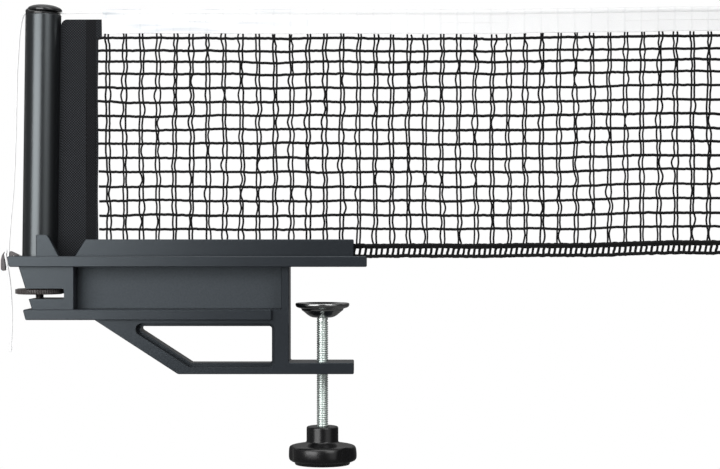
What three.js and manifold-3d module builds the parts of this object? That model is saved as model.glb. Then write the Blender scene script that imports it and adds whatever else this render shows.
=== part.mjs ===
// Table tennis net clamp with its post and one end of the net.
// Millimetres, +Z up. The origin is on the upper jaw's underside, on the clamp screw's axis.
// X runs along the net towards the table, and the bracket is symmetric about Y = 0.
import * as THREE from 'three';
import { mergeVertices } from 'three/addons/utils/BufferGeometryUtils.js';
import Module from 'manifold-3d';

const wasm = await Module();
wasm.setup();

// ---------- driving dimensions ----------
const fitGap = 0.3; // between pieces that touch on the real object
const edgeBevel = 0.4; // on the bracket's moulded edges
const cornerRound = 0.8; // of the bracket's outer corners
const overrun = 1; // how far a cut or a joined length runs past its face
const roundSteps = 44; // round a full circle that shows
const smallSteps = 20; // round a screw, a bore or a rod

// upper jaw plate
const plateThick = 6;
const plateDepth = 40;
const plateRight = 25.6;
const plateLeft = -178.7;
const plateEndSlant = 1.2;
const plateEndRound = 1.4;

// post and its socket
const postX = -163.4;
const postRadius = 10.25;
const postWall = 1.2;
const postTop = 145.7;
const postLean = THREE.MathUtils.degToRad(0.77); // the net's pull leans it towards the table
const postPlay = 0.5; // round the post in its socket
const socketFloor = 1.2; // above the plate's underside
const spigotRadius = 4.2; // of the post's foot below the socket
const slitWidth = 1.8;

// block below the plate, with the slot for the thumbwheel
const blockDepth = 30;
const blockTopLeft = -172.9;
const blockSlant = 0.3128; // sideways run of its left end for each millimetre down
const blockRight = -141.4;
const slotTop = -12.4;
const slotHeight = 6;
const slotRight = -147;
const slotRound = 0.9;

// lower flange, web and column
const flangeTop = -24.3;
const flangeThick = 6;
const flangeDepth = 34;
const flangeLeft = -170.2;
const flangeEndSlant = 1.6;
const flangeRight = -28.7;
const webThick = 4;
const tableStopX = -18.8;
const ribWidth = 4.6;
const columnWidth = 8.1;

// brace, lower beam and lower jaw
const frameDepth = 28;
const braceAngle = THREE.MathUtils.degToRad(33);
const braceStartX = -129.9;
const braceWidth = 6.7;
const jawTop = -54.8;
const jawBottom = -61.3;
const jawRight = 18.2;
const jawCornerRound = 2.5;
const beamHeight = 3.9;
const windowDrop = 1.9; // of the window's top below the flange
const windowRound = 3.5;
const windowLip = 2;
const lipDepth = 14;

// fins round the post and rails along the net
const finHeight = 12.3;
const finLeft = -163;
const finTopWidth = 6.6;
const finBaseWidth = 13.1;
const finThick = 6;
const finRound = 3;
const railHeight = 9.6;
const railLeft = -142.2;
const railSlant = 6.1;
const railRight = 18.1;
const railThick = 3.5;
const channelWidth = 7;
const channelFloor = 2.4;

// clamp screw, dish and knob
const screwRadius = 3.175; // a quarter inch thick, 20 turns an inch
const neckRadius = 2;
const screwChamfer = 0.6;
const rivetLip = 1.2; // the neck's riveted end is this much wider and higher
const dishTop = -21.1;
const dishRadius = 15.6;
const dishHeight = 8.4;
const dishWall = 1.4;
const dishRim = 2.4;
const dishBaseRadius = 5.6;
const bowlRadius = 11;
const bowlHeight = 4.1;
const washerRadius = 4;
const washerThick = 1;
const knobTop = -92.3;
const hubRadius = 9.2;
const hubHeight = 8.9;
const hubRound = 1;
const hubFlare = 3.5;
const gripRadius = 20;
const gripHeight = 11.2;
const knobLobes = 3;
const lobeDepth = 2;
const lobeSharpness = 5; // higher makes the valleys between the lobes narrower
const lobeTurn = THREE.MathUtils.degToRad(-13);
const knobFoot = 1.9;
const footWidth = 3; // of the rim under the knob
const footInset = 4;
const screwInKnob = 13.5;
const nutAcross = 11.1;
const nutThick = 5;
const insertRadius = 5;
const insertInset = 2; // below the knob's top

// height screw and thumbwheel
const stemRadius = 2.4;
const wheelRadius = 14;
const wheelThick = 3.2;
const wheelTeeth = 60;
const toothDepth = 0.5;
const stemAbove = 5;
const stemBelow = 13.5;
const stemNutAcross = 8;
const stemNutThick = 4;

// cap, cut off at a slant and topped by a button
const capHeight = 1.6;
const capRound = 2.4;
const capSlant = THREE.MathUtils.degToRad(4.3);
const plugDepth = 5.5;
const buttonRadius = 9.85;
const buttonHeight = 3.4;
const buttonEdge = 0.5;
const buttonShift = 0.8;
const buttonPegRadius = 3;
const buttonPeg = 0.4;
const footThick = 1;
const footPlug = 9;

// net, tape, sleeves and cord
const netLeft = -129.4;
const netRight = 232;
const netRise = 1.7; // the far end stands this much higher
const riseStart = 90;
const riseSteps = 10;
const netThick = 1;
const strand = 1.2;
const netColumns = 20;
const netRows = 9;
const rowBelowTape = 2.9;
const tapeAbovePost = 3; // the tape's top above the tube's
const tapeHeight = 14.1;
const tapeLeft = -126.8;
const tapeThick = 1.6;
const tapeRollRadius = 1.7;
const tapePocket = 14; // the cord's hole in the tape's end
const hemTop = 12.6;
const hemHeight = 7.6;
const hemCord = 1.6;
const hemGaps = 34;
const sleeveThick = 1.2;
const sleeveRight = -129.7;
const sleeveTab = 2.3;
const sleeveBelowPost = 3.1; // its top below the tube's
const sleeveBottom = 5;
const sleeveStep = 3;
const sleeveShoulder = 0.4; // its top corner past the tube's side
const rodRadius = 2.5;
const rodOffset = 5;
const sleeveLoopWall = 0.8;
const farSleeveWidth = 21.5;
const cordDiameter = 1.2;

// hook
const hookWidth = 4.4;
const hookNeckRadius = 1.6;
const hookNeckRaise = 0.4; // above the plate's top
const wedgeOnPlate = 4.1;
const wedgeNose = 1.7; // past the plate's end
const wedgeHeight = 3;
const fingerGap = 2.7;
const fingerThick = 2.5;
const fingerAbove = 2.4; // the plate's top
const fingerBelow = 8.6;
const hookPegRadius = 1.5;
const hookPegInset = 1.9; // from the plate's end
const hookPegLength = 4.2;
const hookTurnPitch = 1.7; // of the cord's turn round the neck

// colour, roughness and metalness of each material
const finishes = {
  moulding: [0x2b2d30, 0.6, 0],
  hook: [0x3a3638, 0.5, 0],
  zinc: [0xc9d2cf, 0.3, 1],
  darkSteel: [0x54504c, 0.3, 1],
  knob: [0x17181a, 0.3, 0],
  brass: [0xb59a5a, 0.35, 1],
  blackSteel: [0x2a2626, 0.4, 1],
  wheel: [0x1a1718, 0.5, 0],
  paint: [0x24272a, 0.35, 0.3],
  cap: [0x1d1f20, 0.4, 0],
  drawnSteel: [0x8b8f92, 0.5, 0.6],
  fabric: [0x1b1c1f, 0.9, 0],
  thread: [0x121214, 0.9, 0],
  white: [0xe9e9e6, 0.9, 0],
};

// ---------- helpers ----------
function withoutThinTriangles(geometry) {
  const index = geometry.index.array;
  const kept = [];
  for (let i = 0; i < index.length; i += 3) {
    const [a, b, c] = [index[i], index[i + 1], index[i + 2]];
    if (a !== b && b !== c && c !== a) kept.push(a, b, c);
  }
  return kept;
}

function signedVolume(position, triangles) {
  const [a, b, c] = [new THREE.Vector3(), new THREE.Vector3(), new THREE.Vector3()];
  let sum = 0;
  for (let i = 0; i < triangles.length; i += 3) {
    a.fromArray(position, triangles[i] * 3);
    b.fromArray(position, triangles[i + 1] * 3);
    c.fromArray(position, triangles[i + 2] * 3);
    sum += a.dot(b.cross(c)) / 6;
  }
  return sum;
}

function toSolid(geometry) {
  const bare = geometry.clone();
  bare.deleteAttribute('normal');
  bare.deleteAttribute('uv');
  const merged = mergeVertices(bare, 1e-4);
  const triangles = withoutThinTriangles(merged);
  const position = merged.attributes.position.array;
  if (signedVolume(position, triangles) < 0) triangles.reverse();
  return new wasm.Manifold(new wasm.Mesh({
    numProp: 3,
    vertProperties: new Float32Array(position),
    triVerts: new Uint32Array(triangles),
  }));
}

function toGeometry(solid) {
  const mesh = solid.getMesh();
  const geometry = new THREE.BufferGeometry();
  geometry.setAttribute('position', new THREE.BufferAttribute(new Float32Array(mesh.vertProperties), 3));
  geometry.setIndex(new THREE.BufferAttribute(new Uint32Array(mesh.triVerts), 1));
  geometry.computeVertexNormals();
  return geometry;
}

function toMesh(name, solid, finish) {
  const [color, roughness, metalness] = finishes[finish];
  const material = new THREE.MeshStandardMaterial({ color, roughness, metalness });
  const mesh = new THREE.Mesh(toGeometry(solid), material);
  mesh.name = name;
  return mesh;
}

function join(...solids) {
  return solids.reduce((whole, next) => whole.add(next));
}

// Corners are [x, y, radius]; a corner with a radius becomes an arc.
function outline(corners) {
  const points = [];
  corners.forEach(([x, y, radius = 0], i) => {
    const corner = new THREE.Vector2(x, y);
    if (radius === 0) {
      points.push(corner);
      return;
    }
    const [beforeX, beforeY] = corners[(i + corners.length - 1) % corners.length];
    const [afterX, afterY] = corners[(i + 1) % corners.length];
    const toBefore = new THREE.Vector2(beforeX, beforeY).sub(corner).normalize();
    const toAfter = new THREE.Vector2(afterX, afterY).sub(corner).normalize();
    const half = Math.acos(THREE.MathUtils.clamp(toBefore.dot(toAfter), -1, 1)) / 2;
    const reach = radius / Math.sin(half);
    const centre = toBefore.clone().add(toAfter).normalize().multiplyScalar(reach).add(corner);
    const start = toBefore.clone().multiplyScalar(radius / Math.tan(half)).add(corner).sub(centre);
    const end = toAfter.clone().multiplyScalar(radius / Math.tan(half)).add(corner).sub(centre);
    const turn = Math.atan2(start.x * end.y - start.y * end.x, start.dot(end));
    const steps = Math.max(2, Math.ceil(Math.abs(turn) / 0.3));
    for (let k = 0; k <= steps; k += 1) {
      points.push(start.clone().rotateAround(new THREE.Vector2(), (turn * k) / steps).add(centre));
    }
  });
  return points;
}

// An outline's corners moved inwards by the same distance on every side.
function inset(corners, distance) {
  const points = corners.map(([x, y]) => new THREE.Vector2(x, y));
  const turn = THREE.ShapeUtils.area(points) > 0 ? 1 : -1;
  return corners.map(([x, y, radius = 0], i) => {
    const before = points[(i + points.length - 1) % points.length];
    const after = points[(i + 1) % points.length];
    const inA = new THREE.Vector2(before.y - y, x - before.x).normalize().multiplyScalar(turn);
    const inB = new THREE.Vector2(y - after.y, after.x - x).normalize().multiplyScalar(turn);
    const step = inA.clone().add(inB).multiplyScalar(distance / (1 + inA.dot(inB)));
    return [x + step.x, y + step.y, Math.max(radius - distance, edgeBevel)];
  });
}

// A prism with its outline in X and Z, from one Y to another, with both rims bevelled.
function prismY(points, fromY, toY, bevel = 0) {
  const geometry = new THREE.ExtrudeGeometry(new THREE.Shape(points), {
    depth: toY - fromY - 2 * bevel,
    bevelEnabled: bevel > 0,
    bevelThickness: bevel,
    bevelSize: bevel,
    bevelOffset: -bevel,
    bevelSegments: 1,
  });
  return toSolid(geometry.rotateX(Math.PI / 2).translate(0, toY - bevel, 0));
}

// A prism with its outline in X and Y, from one Z to another.
function prismZ(points, fromZ, toZ) {
  const settings = { depth: toZ - fromZ, bevelEnabled: false };
  return toSolid(new THREE.ExtrudeGeometry(new THREE.Shape(points), settings).translate(0, 0, fromZ));
}

function rodZ(radius, fromZ, toZ, x = 0, steps = smallSteps) {
  const geometry = new THREE.CylinderGeometry(radius, radius, toZ - fromZ, steps);
  return toSolid(geometry.rotateX(Math.PI / 2).translate(x, 0, (fromZ + toZ) / 2));
}

function rodX(radius, fromX, toX, z, steps = smallSteps) {
  const geometry = new THREE.CylinderGeometry(radius, radius, toX - fromX, steps);
  return toSolid(geometry.rotateZ(Math.PI / 2).translate((fromX + toX) / 2, 0, z));
}

function block(fromX, toX, fromY, toY, fromZ, toZ) {
  const geometry = new THREE.BoxGeometry(toX - fromX, toY - fromY, toZ - fromZ);
  return toSolid(geometry.translate((fromX + toX) / 2, (fromY + toY) / 2, (fromZ + toZ) / 2));
}

function hexagon(across, fromZ, toZ, x = 0) {
  return rodZ(across / Math.sqrt(3), fromZ, toZ, x, 6);
}

// Turned about Z from a profile of [radius, z] points.
function turned(profile, steps = roundSteps) {
  const points = profile.map(([radius, z]) => new THREE.Vector2(radius, z));
  return toSolid(new THREE.LatheGeometry(points, steps).rotateX(Math.PI / 2));
}

// How much higher the net stands at x than at the post.
function riseAt(x) {
  return netRise * THREE.MathUtils.smoothstep(x, riseStart, netRight);
}

function raised(solid) {
  return solid.warp((point) => {
    point[2] += riseAt(point[0]);
  });
}

// A level bar along the net, in short lengths that follow the rise.
function netBar(thick, fromZ, toZ) {
  const long = netRight - netLeft;
  const geometry = new THREE.BoxGeometry(long, thick, toZ - fromZ, riseSteps, 1, 1);
  return raised(toSolid(geometry.translate(netLeft + long / 2, 0, (fromZ + toZ) / 2)));
}

// An upright of the net, standing with its left side at x.
function netUpright(x, fromZ, toZ) {
  return raised(block(x, x + strand, -netThick / 2, netThick / 2, fromZ, toZ));
}

// ---------- bracket ----------
const flangeBottom = flangeTop - flangeThick;
const slotBottom = slotTop - slotHeight;
const socketRadius = postRadius + postPlay;
const finTop = plateThick + finHeight;
const railTop = plateThick + railHeight;
const hookPegX = plateLeft + hookPegInset;
const hookNeckZ = plateThick + hookNeckRaise;

function mirrored(corners, fromY, toY, bevel = edgeBevel) {
  const points = outline(corners);
  return join(prismY(points, fromY, toY, bevel), prismY(points, -toY, -fromY, bevel));
}

function upperPlate() {
  const corners = [
    [plateLeft, plateThick, cornerRound],
    [plateLeft + plateEndSlant, 0, plateEndRound],
    [plateRight, 0, cornerRound],
    [plateRight, plateThick, cornerRound],
  ];
  return prismY(outline(corners), -plateDepth / 2, plateDepth / 2, edgeBevel);
}

function fins() {
  const corners = [
    [finLeft, plateThick - overrun],
    [finLeft + finBaseWidth, plateThick - overrun],
    [finLeft + finBaseWidth, plateThick],
    [finLeft + finTopWidth, finTop, finRound],
    [finLeft, finTop, cornerRound],
  ];
  return mirrored(corners, blockDepth / 2 - finThick, blockDepth / 2);
}

function rails() {
  const corners = [
    [railLeft, plateThick - overrun],
    [railRight, plateThick - overrun],
    [railRight, railTop, cornerRound],
    [railLeft + railSlant, railTop, cornerRound],
    [railLeft, plateThick],
  ];
  return mirrored(corners, channelWidth / 2, channelWidth / 2 + railThick);
}

function socketBlock() {
  const low = flangeTop - overrun;
  const corners = [
    [blockTopLeft, overrun],
    [blockTopLeft, 0],
    [blockTopLeft - blockSlant * low, low],
    [blockRight, low],
    [blockRight, overrun],
  ];
  const slot = outline([
    [plateLeft, slotTop],
    [plateLeft, slotBottom],
    [slotRight, slotBottom, slotRound],
    [slotRight, slotTop, slotRound],
  ]);
  const body = prismY(outline(corners), -blockDepth / 2, blockDepth / 2, edgeBevel);
  return body.subtract(prismY(slot, -blockDepth, blockDepth));
}

function lowerFlange() {
  const corners = [
    [flangeLeft, flangeTop, cornerRound],
    [flangeLeft + flangeEndSlant, flangeBottom, cornerRound],
    [flangeRight, flangeBottom, cornerRound],
    [flangeRight, flangeTop, cornerRound],
  ];
  return prismY(outline(corners), -flangeDepth / 2, flangeDepth / 2, edgeBevel);
}

function web() {
  const low = flangeTop - overrun;
  const panel = block(blockRight - overrun, tableStopX - overrun, -webThick / 2, webThick / 2, low, overrun);
  const rib = outline([
    [tableStopX - ribWidth, overrun],
    [tableStopX - ribWidth, low],
    [tableStopX, low],
    [tableStopX, overrun],
  ]);
  return panel.add(prismY(rib, -frameDepth / 2, frameDepth / 2, edgeBevel));
}

// The lower frame: a brace, a beam and a column round the window, and the jaw that carries the screw.
function lowerFrame() {
  const braceRun = 1 / Math.tan(braceAngle);
  const innerShift = braceWidth / Math.sin(braceAngle);
  const windowTop = flangeBottom - windowDrop;
  const windowBottom = jawBottom + beamHeight;
  const braceAt = (z) => braceStartX + (flangeBottom - z) * braceRun;
  const outside = [
    [braceAt(flangeBottom + overrun), flangeBottom + overrun],
    [braceAt(jawBottom), jawBottom, jawCornerRound],
    [jawRight, jawBottom, cornerRound],
    [jawRight, jawTop, cornerRound],
    [tableStopX, jawTop, cornerRound],
    [tableStopX, flangeBottom + overrun],
  ];
  const opening = [
    [braceAt(windowTop) + innerShift, windowTop, windowRound],
    [braceAt(windowBottom) + innerShift, windowBottom, cornerRound],
    [tableStopX - columnWidth, windowBottom, windowRound],
    [tableStopX - columnWidth, windowTop, windowRound],
  ];
  const body = prismY(outline(outside), -frameDepth / 2, frameDepth / 2, edgeBevel);
  const lip = prismY(outline(outside), -lipDepth / 2, lipDepth / 2);
  return join(
    body.subtract(prismY(outline(opening), -frameDepth, frameDepth)),
    lip.subtract(prismY(outline(inset(opening, windowLip)), -frameDepth, frameDepth)),
    block(flangeRight - overrun, tableStopX, -frameDepth / 2, frameDepth / 2, windowTop, flangeTop),
  );
}

function bracketBores() {
  const halfChannel = channelWidth / 2;
  const channel = block(postX, plateRight + overrun, -halfChannel, halfChannel, channelFloor, finTop);
  const socket = rodZ(socketRadius, socketFloor, finTop + overrun, postX, roundSteps);
  const spigotBore = rodZ(spigotRadius + postPlay, slotTop - overrun, socketFloor + overrun, postX);
  const nutDepth = stemNutThick + fitGap;
  return join(
    channel,
    socket,
    spigotBore,
    rodZ(stemRadius + fitGap, flangeBottom - overrun, slotBottom + overrun, postX),
    hexagon(stemNutAcross + 2 * fitGap, flangeBottom - overrun, flangeBottom + nutDepth, postX),
    rodZ(screwRadius + fitGap, jawBottom - overrun, jawTop + overrun),
    hexagon(nutAcross + 2 * fitGap, jawBottom - overrun, jawBottom + nutThick + fitGap),
    rodZ(hookPegRadius + fitGap, plateThick - hookPegLength, plateThick + overrun, hookPegX),
  );
}

function bracket() {
  const body = join(upperPlate(), fins(), rails(), socketBlock(), lowerFlange(), web(), lowerFrame());
  return body.subtract(bracketBores());
}

function nut(across, thick, boreRadius, bottom, x = 0) {
  const bore = rodZ(boreRadius, bottom - overrun, bottom + thick + overrun, x);
  return hexagon(across, bottom, bottom + thick, x).subtract(bore);
}

// The cord is made fast round the neck between the hook's wedge and its finger.
function cordHook() {
  const base = plateThick + fitGap;
  const noseX = plateLeft - wedgeNose;
  const fingerRight = noseX - fingerGap;
  const fingerLow = plateThick - fingerBelow;
  const neckLow = hookNeckZ - hookNeckRadius;
  const wedge = outline([
    [plateLeft + wedgeOnPlate, base],
    [noseX, plateThick + wedgeHeight, edgeBevel],
    [noseX, neckLow],
    [plateLeft - fitGap, neckLow],
    [plateLeft - fitGap, base],
  ]);
  // each corner in shares of the finger's thickness and height
  const finger = [
    [0.16, 1], [0.72, 0.82], [0.98, 0.55], [1, 0.3], [0.96, 0.08],
    [0.52, 0], [0.04, 0.03], [0.02, 0.34], [0.24, 0.62],
  ].map(([across, up]) => [
    fingerRight - across * fingerThick,
    fingerLow + up * (fingerAbove + fingerBelow),
    up < 1 ? edgeBevel : 0,
  ]);
  return join(
    prismY(wedge, -hookWidth / 2, hookWidth / 2),
    prismY(outline(finger), -hookWidth / 2, hookWidth / 2),
    rodX(hookNeckRadius, fingerRight - fingerThick / 3, noseX + edgeBevel, hookNeckZ, 16),
    rodZ(hookPegRadius, plateThick - hookPegLength + fitGap, base + edgeBevel, hookPegX, 16),
  );
}

// ---------- post ----------
// Everything in the leaning group is measured up from the post's foot.
const wheelTop = slotTop - edgeBevel;
const postDrop = wheelTop - wheelThick - slotBottom - fitGap; // how far the post can be lowered
const footZ = wheelTop + fitGap;
const spigotLength = socketFloor + postDrop + fitGap - footZ;
const tubeStart = spigotLength + footThick + fitGap;
const tubeEnd = postTop - footZ;
const slitStart = sleeveBottom - footZ - overrun;
const boreRadius = postRadius - postWall;
const collarBottom = tubeEnd + fitGap;
const collarTop = collarBottom + capHeight; // on the post's axis

function postTube() {
  const tube = rodZ(postRadius, tubeStart, tubeEnd, 0, roundSteps)
    .subtract(rodZ(boreRadius, tubeStart - overrun, tubeEnd + overrun, 0, roundSteps));
  const halfSlit = slitWidth / 2;
  return tube.subtract(block(0, postRadius + overrun, -halfSlit, halfSlit, slitStart, tubeEnd + overrun));
}

// A spigot stands on the height screw, a flange carries the tube, and a plug with a pocket for the net's rod fills it.
function postFoot() {
  const plugRadius = boreRadius - fitGap;
  const flangeTopZ = spigotLength + footThick;
  const plugTop = flangeTopZ + footPlug;
  const plug = turned([
    [0, 0],
    [spigotRadius, 0],
    [spigotRadius, spigotLength],
    [postRadius, spigotLength],
    [postRadius, flangeTopZ],
    [plugRadius, flangeTopZ],
    [plugRadius, plugTop],
    [0, plugTop],
  ]);
  const pocketRadius = rodRadius + sleeveLoopWall + 3 * fitGap;
  return plug
    .subtract(rodZ(stemRadius + 2 * fitGap, -overrun, stemAbove + fitGap))
    .subtract(rodZ(pocketRadius, flangeTopZ, plugTop + overrun, rodOffset));
}

// Turns a piece of the cap about the middle of the cap's slanting top.
function slanted(solid) {
  return solid
    .translate([0, 0, -collarTop])
    .rotate([0, THREE.MathUtils.radToDeg(capSlant), 0])
    .translate([0, 0, collarTop]);
}

// The collar has a slot across its top for the tension cord, under the button.
function postCap() {
  const plug = rodZ(boreRadius - fitGap, collarBottom - plugDepth, collarBottom + edgeBevel, 0, roundSteps);
  const bendSteps = 3;
  const rounded = [[0, 0], [postRadius + edgeBevel, 0]];
  for (let k = 0; k <= bendSteps; k += 1) {
    const angle = ((Math.PI / 2) * k) / bendSteps;
    rounded.push([
      postRadius + edgeBevel - capRound * (1 - Math.cos(angle)),
      collarTop - capRound * (1 - Math.sin(angle)),
    ]);
  }
  const top = slanted(turned([...rounded, [0, collarTop]]));
  const collar = rodZ(postRadius, collarBottom, collarTop + capRound, 0, roundSteps).intersect(top);
  const halfSlot = cordDiameter / 2 + fitGap;
  const slotX = postRadius + overrun;
  const slotFloor = collarBottom - fitGap;
  const pegHole = rodZ(buttonPegRadius + fitGap, collarTop - buttonPeg - fitGap, collarTop + overrun);
  return plug
    .add(collar)
    .subtract(block(-slotX, slotX, -halfSlot, halfSlot, slotFloor, collarTop + capRound))
    .subtract(slanted(pegHole.translate([buttonShift, 0, 0])));
}

function capButton() {
  const base = collarTop + fitGap;
  const domeSteps = 4;
  const dome = [];
  for (let k = 0; k <= domeSteps; k += 1) {
    const angle = ((Math.PI / 2) * k) / domeSteps;
    dome.push([
      k < domeSteps ? buttonRadius * Math.cos(angle) : 0,
      base + buttonEdge + (buttonHeight - buttonEdge) * Math.sin(angle),
    ]);
  }
  const button = turned([
    [0, base - buttonPeg],
    [buttonPegRadius, base - buttonPeg],
    [buttonPegRadius, base],
    [buttonRadius - buttonEdge, base],
    ...dome,
  ]);
  return slanted(button.translate([buttonShift, 0, 0]));
}

function heightScrew() {
  return rodZ(stemRadius, wheelTop - wheelThick - stemBelow, wheelTop + stemAbove);
}

function thumbwheel() {
  const points = [];
  for (let k = 0; k < 2 * wheelTeeth; k += 1) {
    const angle = (Math.PI * k) / wheelTeeth;
    const radius = k % 2 === 0 ? wheelRadius : wheelRadius - toothDepth;
    points.push(new THREE.Vector2(radius * Math.cos(angle), radius * Math.sin(angle)));
  }
  const bottom = wheelTop - wheelThick;
  const bore = rodZ(stemRadius + fitGap, bottom - overrun, wheelTop + overrun);
  return prismZ(points, bottom, wheelTop).subtract(bore);
}

// ---------- clamp screw, dish and knob ----------
const dishBottom = dishTop - dishHeight;
const dishFloor = dishBottom + dishWall;
const screwShoulder = dishBottom - fitGap;
const washerBottom = dishFloor + fitGap;
const washerTop = washerBottom + washerThick;
const rivetBottom = washerTop + fitGap;
const screwBottom = knobTop - screwInKnob;
const insertTop = knobTop - insertInset;
const insertBottom = screwBottom + overrun;

function clampScrew() {
  return turned([
    [0, screwBottom],
    [screwRadius - screwChamfer, screwBottom],
    [screwRadius, screwBottom + screwChamfer],
    [screwRadius, screwShoulder],
    [neckRadius, screwShoulder],
    [neckRadius, rivetBottom],
    [neckRadius + rivetLip, rivetBottom],
    [neckRadius + rivetLip / 2, rivetBottom + rivetLip],
    [0, rivetBottom + rivetLip],
  ], smallSteps);
}

function swivelWasher() {
  const hole = neckRadius + fitGap;
  return turned([
    [hole, washerBottom],
    [washerRadius, washerBottom],
    [washerRadius, washerTop],
    [hole, washerTop],
    [hole, washerBottom],
  ], smallSteps);
}

function pressureDish() {
  const hole = neckRadius + 2 * fitGap;
  const rimBottom = dishTop - dishRim;
  const rimRound = dishRim / 4;
  const bowlTop = dishBottom + bowlHeight;
  const bowlRun = bowlRadius - dishBaseRadius;
  return turned([
    [hole, dishBottom],
    [dishBaseRadius, dishBottom],
    [dishBaseRadius + bowlRun / 2, dishBottom + bowlHeight / 4],
    [bowlRadius - bowlRun / 8, dishBottom + bowlHeight * 0.63],
    [bowlRadius, bowlTop],
    [dishRadius - rimRound, rimBottom],
    [dishRadius, rimBottom + rimRound],
    [dishRadius, dishTop - rimRound],
    [dishRadius - rimRound, dishTop],
    [dishRadius - dishWall, dishTop],
    [bowlRadius - dishWall, bowlTop + dishWall],
    [bowlRadius - dishWall - bowlRun / 8, dishFloor + bowlHeight / 2],
    [dishBaseRadius, dishFloor],
    [hole, dishFloor],
    [hole, dishBottom],
  ]);
}

function starKnob() {
  const gripTop = knobTop - hubHeight;
  const gripBottom = gripTop - gripHeight;
  const bottom = gripBottom - knobFoot;
  const footRadius = gripRadius - footInset;
  const hub = turned([
    [0, gripTop - hubFlare],
    [hubRadius + hubFlare, gripTop - hubFlare * 0.63],
    [hubRadius + hubFlare * 0.34, gripTop - hubFlare * 0.34],
    [hubRadius, gripTop + hubFlare * 0.29],
    [hubRadius, knobTop - hubRound],
    [hubRadius - hubRound * 0.3, knobTop - hubRound * 0.3],
    [hubRadius - hubRound, knobTop],
    [0, knobTop],
  ]);
  // the grip's section, in shares of its radius and height
  const grip = turned([
    [0, 0], [0.85, 0], [0.93, 0.11], [0.98, 0.3], [1, 0.54], [0.975, 0.72], [0.91, 0.82], [0.7, 0.875],
    [hubRadius / gripRadius, 0.95], [0, 0.95],
  ].map(([out, up]) => [out * gripRadius, gripBottom + up * gripHeight]));
  const lobes = [];
  const lobeSteps = 60;
  for (let k = 0; k < lobeSteps; k += 1) {
    const angle = (2 * Math.PI * k) / lobeSteps;
    const wave = (1 - Math.cos(knobLobes * (angle - lobeTurn + Math.PI / 2))) / 2;
    const radius = gripRadius * 1.0005 - lobeDepth * Math.pow(wave, lobeSharpness);
    lobes.push(new THREE.Vector2(radius * Math.cos(angle), radius * Math.sin(angle)));
  }
  const body = join(
    grip.intersect(prismZ(lobes, bottom, knobTop)),
    hub,
    rodZ(footRadius, bottom, gripBottom + overrun, 0, roundSteps),
  );
  return body
    .subtract(rodZ(screwRadius + fitGap, screwBottom - fitGap, knobTop + overrun))
    .subtract(rodZ(insertRadius + fitGap, insertBottom - fitGap, insertTop + fitGap))
    .subtract(rodZ(footRadius - footWidth, bottom - overrun, bottom + knobFoot / 2, 0, roundSteps));
}

function knobInsert() {
  return rodZ(insertRadius, insertBottom, insertTop)
    .subtract(rodZ(screwRadius + fitGap, insertBottom - overrun, insertTop + overrun));
}

// ---------- net ----------
const tapeTop = postTop + tapeAbovePost;
const tapeBottom = tapeTop - tapeHeight;
const tapeRollZ = tapeTop - tapeRollRadius;
const sleeveTop = postTop - sleeveBelowPost;

// A sleeve is a doubled strip whose folded edge goes round a rod.
function sleeve(rodPlace, edge, side, lean) {
  const loopRadius = rodRadius + fitGap + sleeveLoopWall;
  const innerTop = sleeveTop - sleeveStep;
  const shoulder = rodPlace + side * (postRadius - rodOffset + sleeveShoulder) + lean * sleeveTop;
  const panel = outline([
    [rodPlace, sleeveBottom],
    [edge, sleeveBottom],
    [edge, tapeBottom],
    [edge + side * sleeveTab, tapeBottom],
    [edge + side * sleeveTab, sleeveTop],
    [shoulder, sleeveTop, sleeveStep - 0.1],
    [shoulder, innerTop],
    [rodPlace + lean * innerTop, innerTop],
  ]);
  const turnedAbout = (solid) => solid
    .translate([0, 0, -sleeveBottom])
    .rotate([0, THREE.MathUtils.radToDeg(Math.atan(lean)), 0])
    .translate([rodPlace, 0, sleeveBottom]);
  const loop = turnedAbout(rodZ(loopRadius, sleeveBottom, innerTop));
  const hole = turnedAbout(rodZ(rodRadius + fitGap, sleeveBottom - overrun, innerTop + overrun));
  return prismY(panel, -sleeveThick / 2, sleeveThick / 2).add(loop).subtract(hole);
}

// Crossing strands: uprights with their feet and heads free, and level rows between the outer uprights.
function netMesh() {
  const headZ = tapeBottom - fitGap;
  const footEnd = hemTop + fitGap;
  const columnPitch = (netRight - netLeft - strand) / netColumns;
  const lowRow = footEnd + strand;
  const rowPitch = (tapeBottom - rowBelowTape - strand / 2 - lowRow) / netRows;
  const strands = [];
  for (let k = 0; k <= netColumns; k += 1) {
    strands.push(netUpright(netLeft + k * columnPitch, footEnd, headZ));
  }
  for (let k = 0; k <= netRows; k += 1) {
    const z = lowRow + k * rowPitch;
    strands.push(netBar(netThick, z, z + strand));
  }
  return join(...strands);
}

// The bottom edge: two cords with rungs between them.
function netHem() {
  const low = hemTop - hemHeight;
  const pitch = (netRight - netLeft - strand) / hemGaps;
  const half = hemCord / 2;
  const pieces = [netBar(hemCord, low, low + hemCord), netBar(hemCord, hemTop - hemCord, hemTop)];
  for (let k = 0; k <= hemGaps; k += 1) {
    pieces.push(netUpright(netLeft + k * pitch, low + half, hemTop - half));
  }
  return join(...pieces);
}

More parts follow.
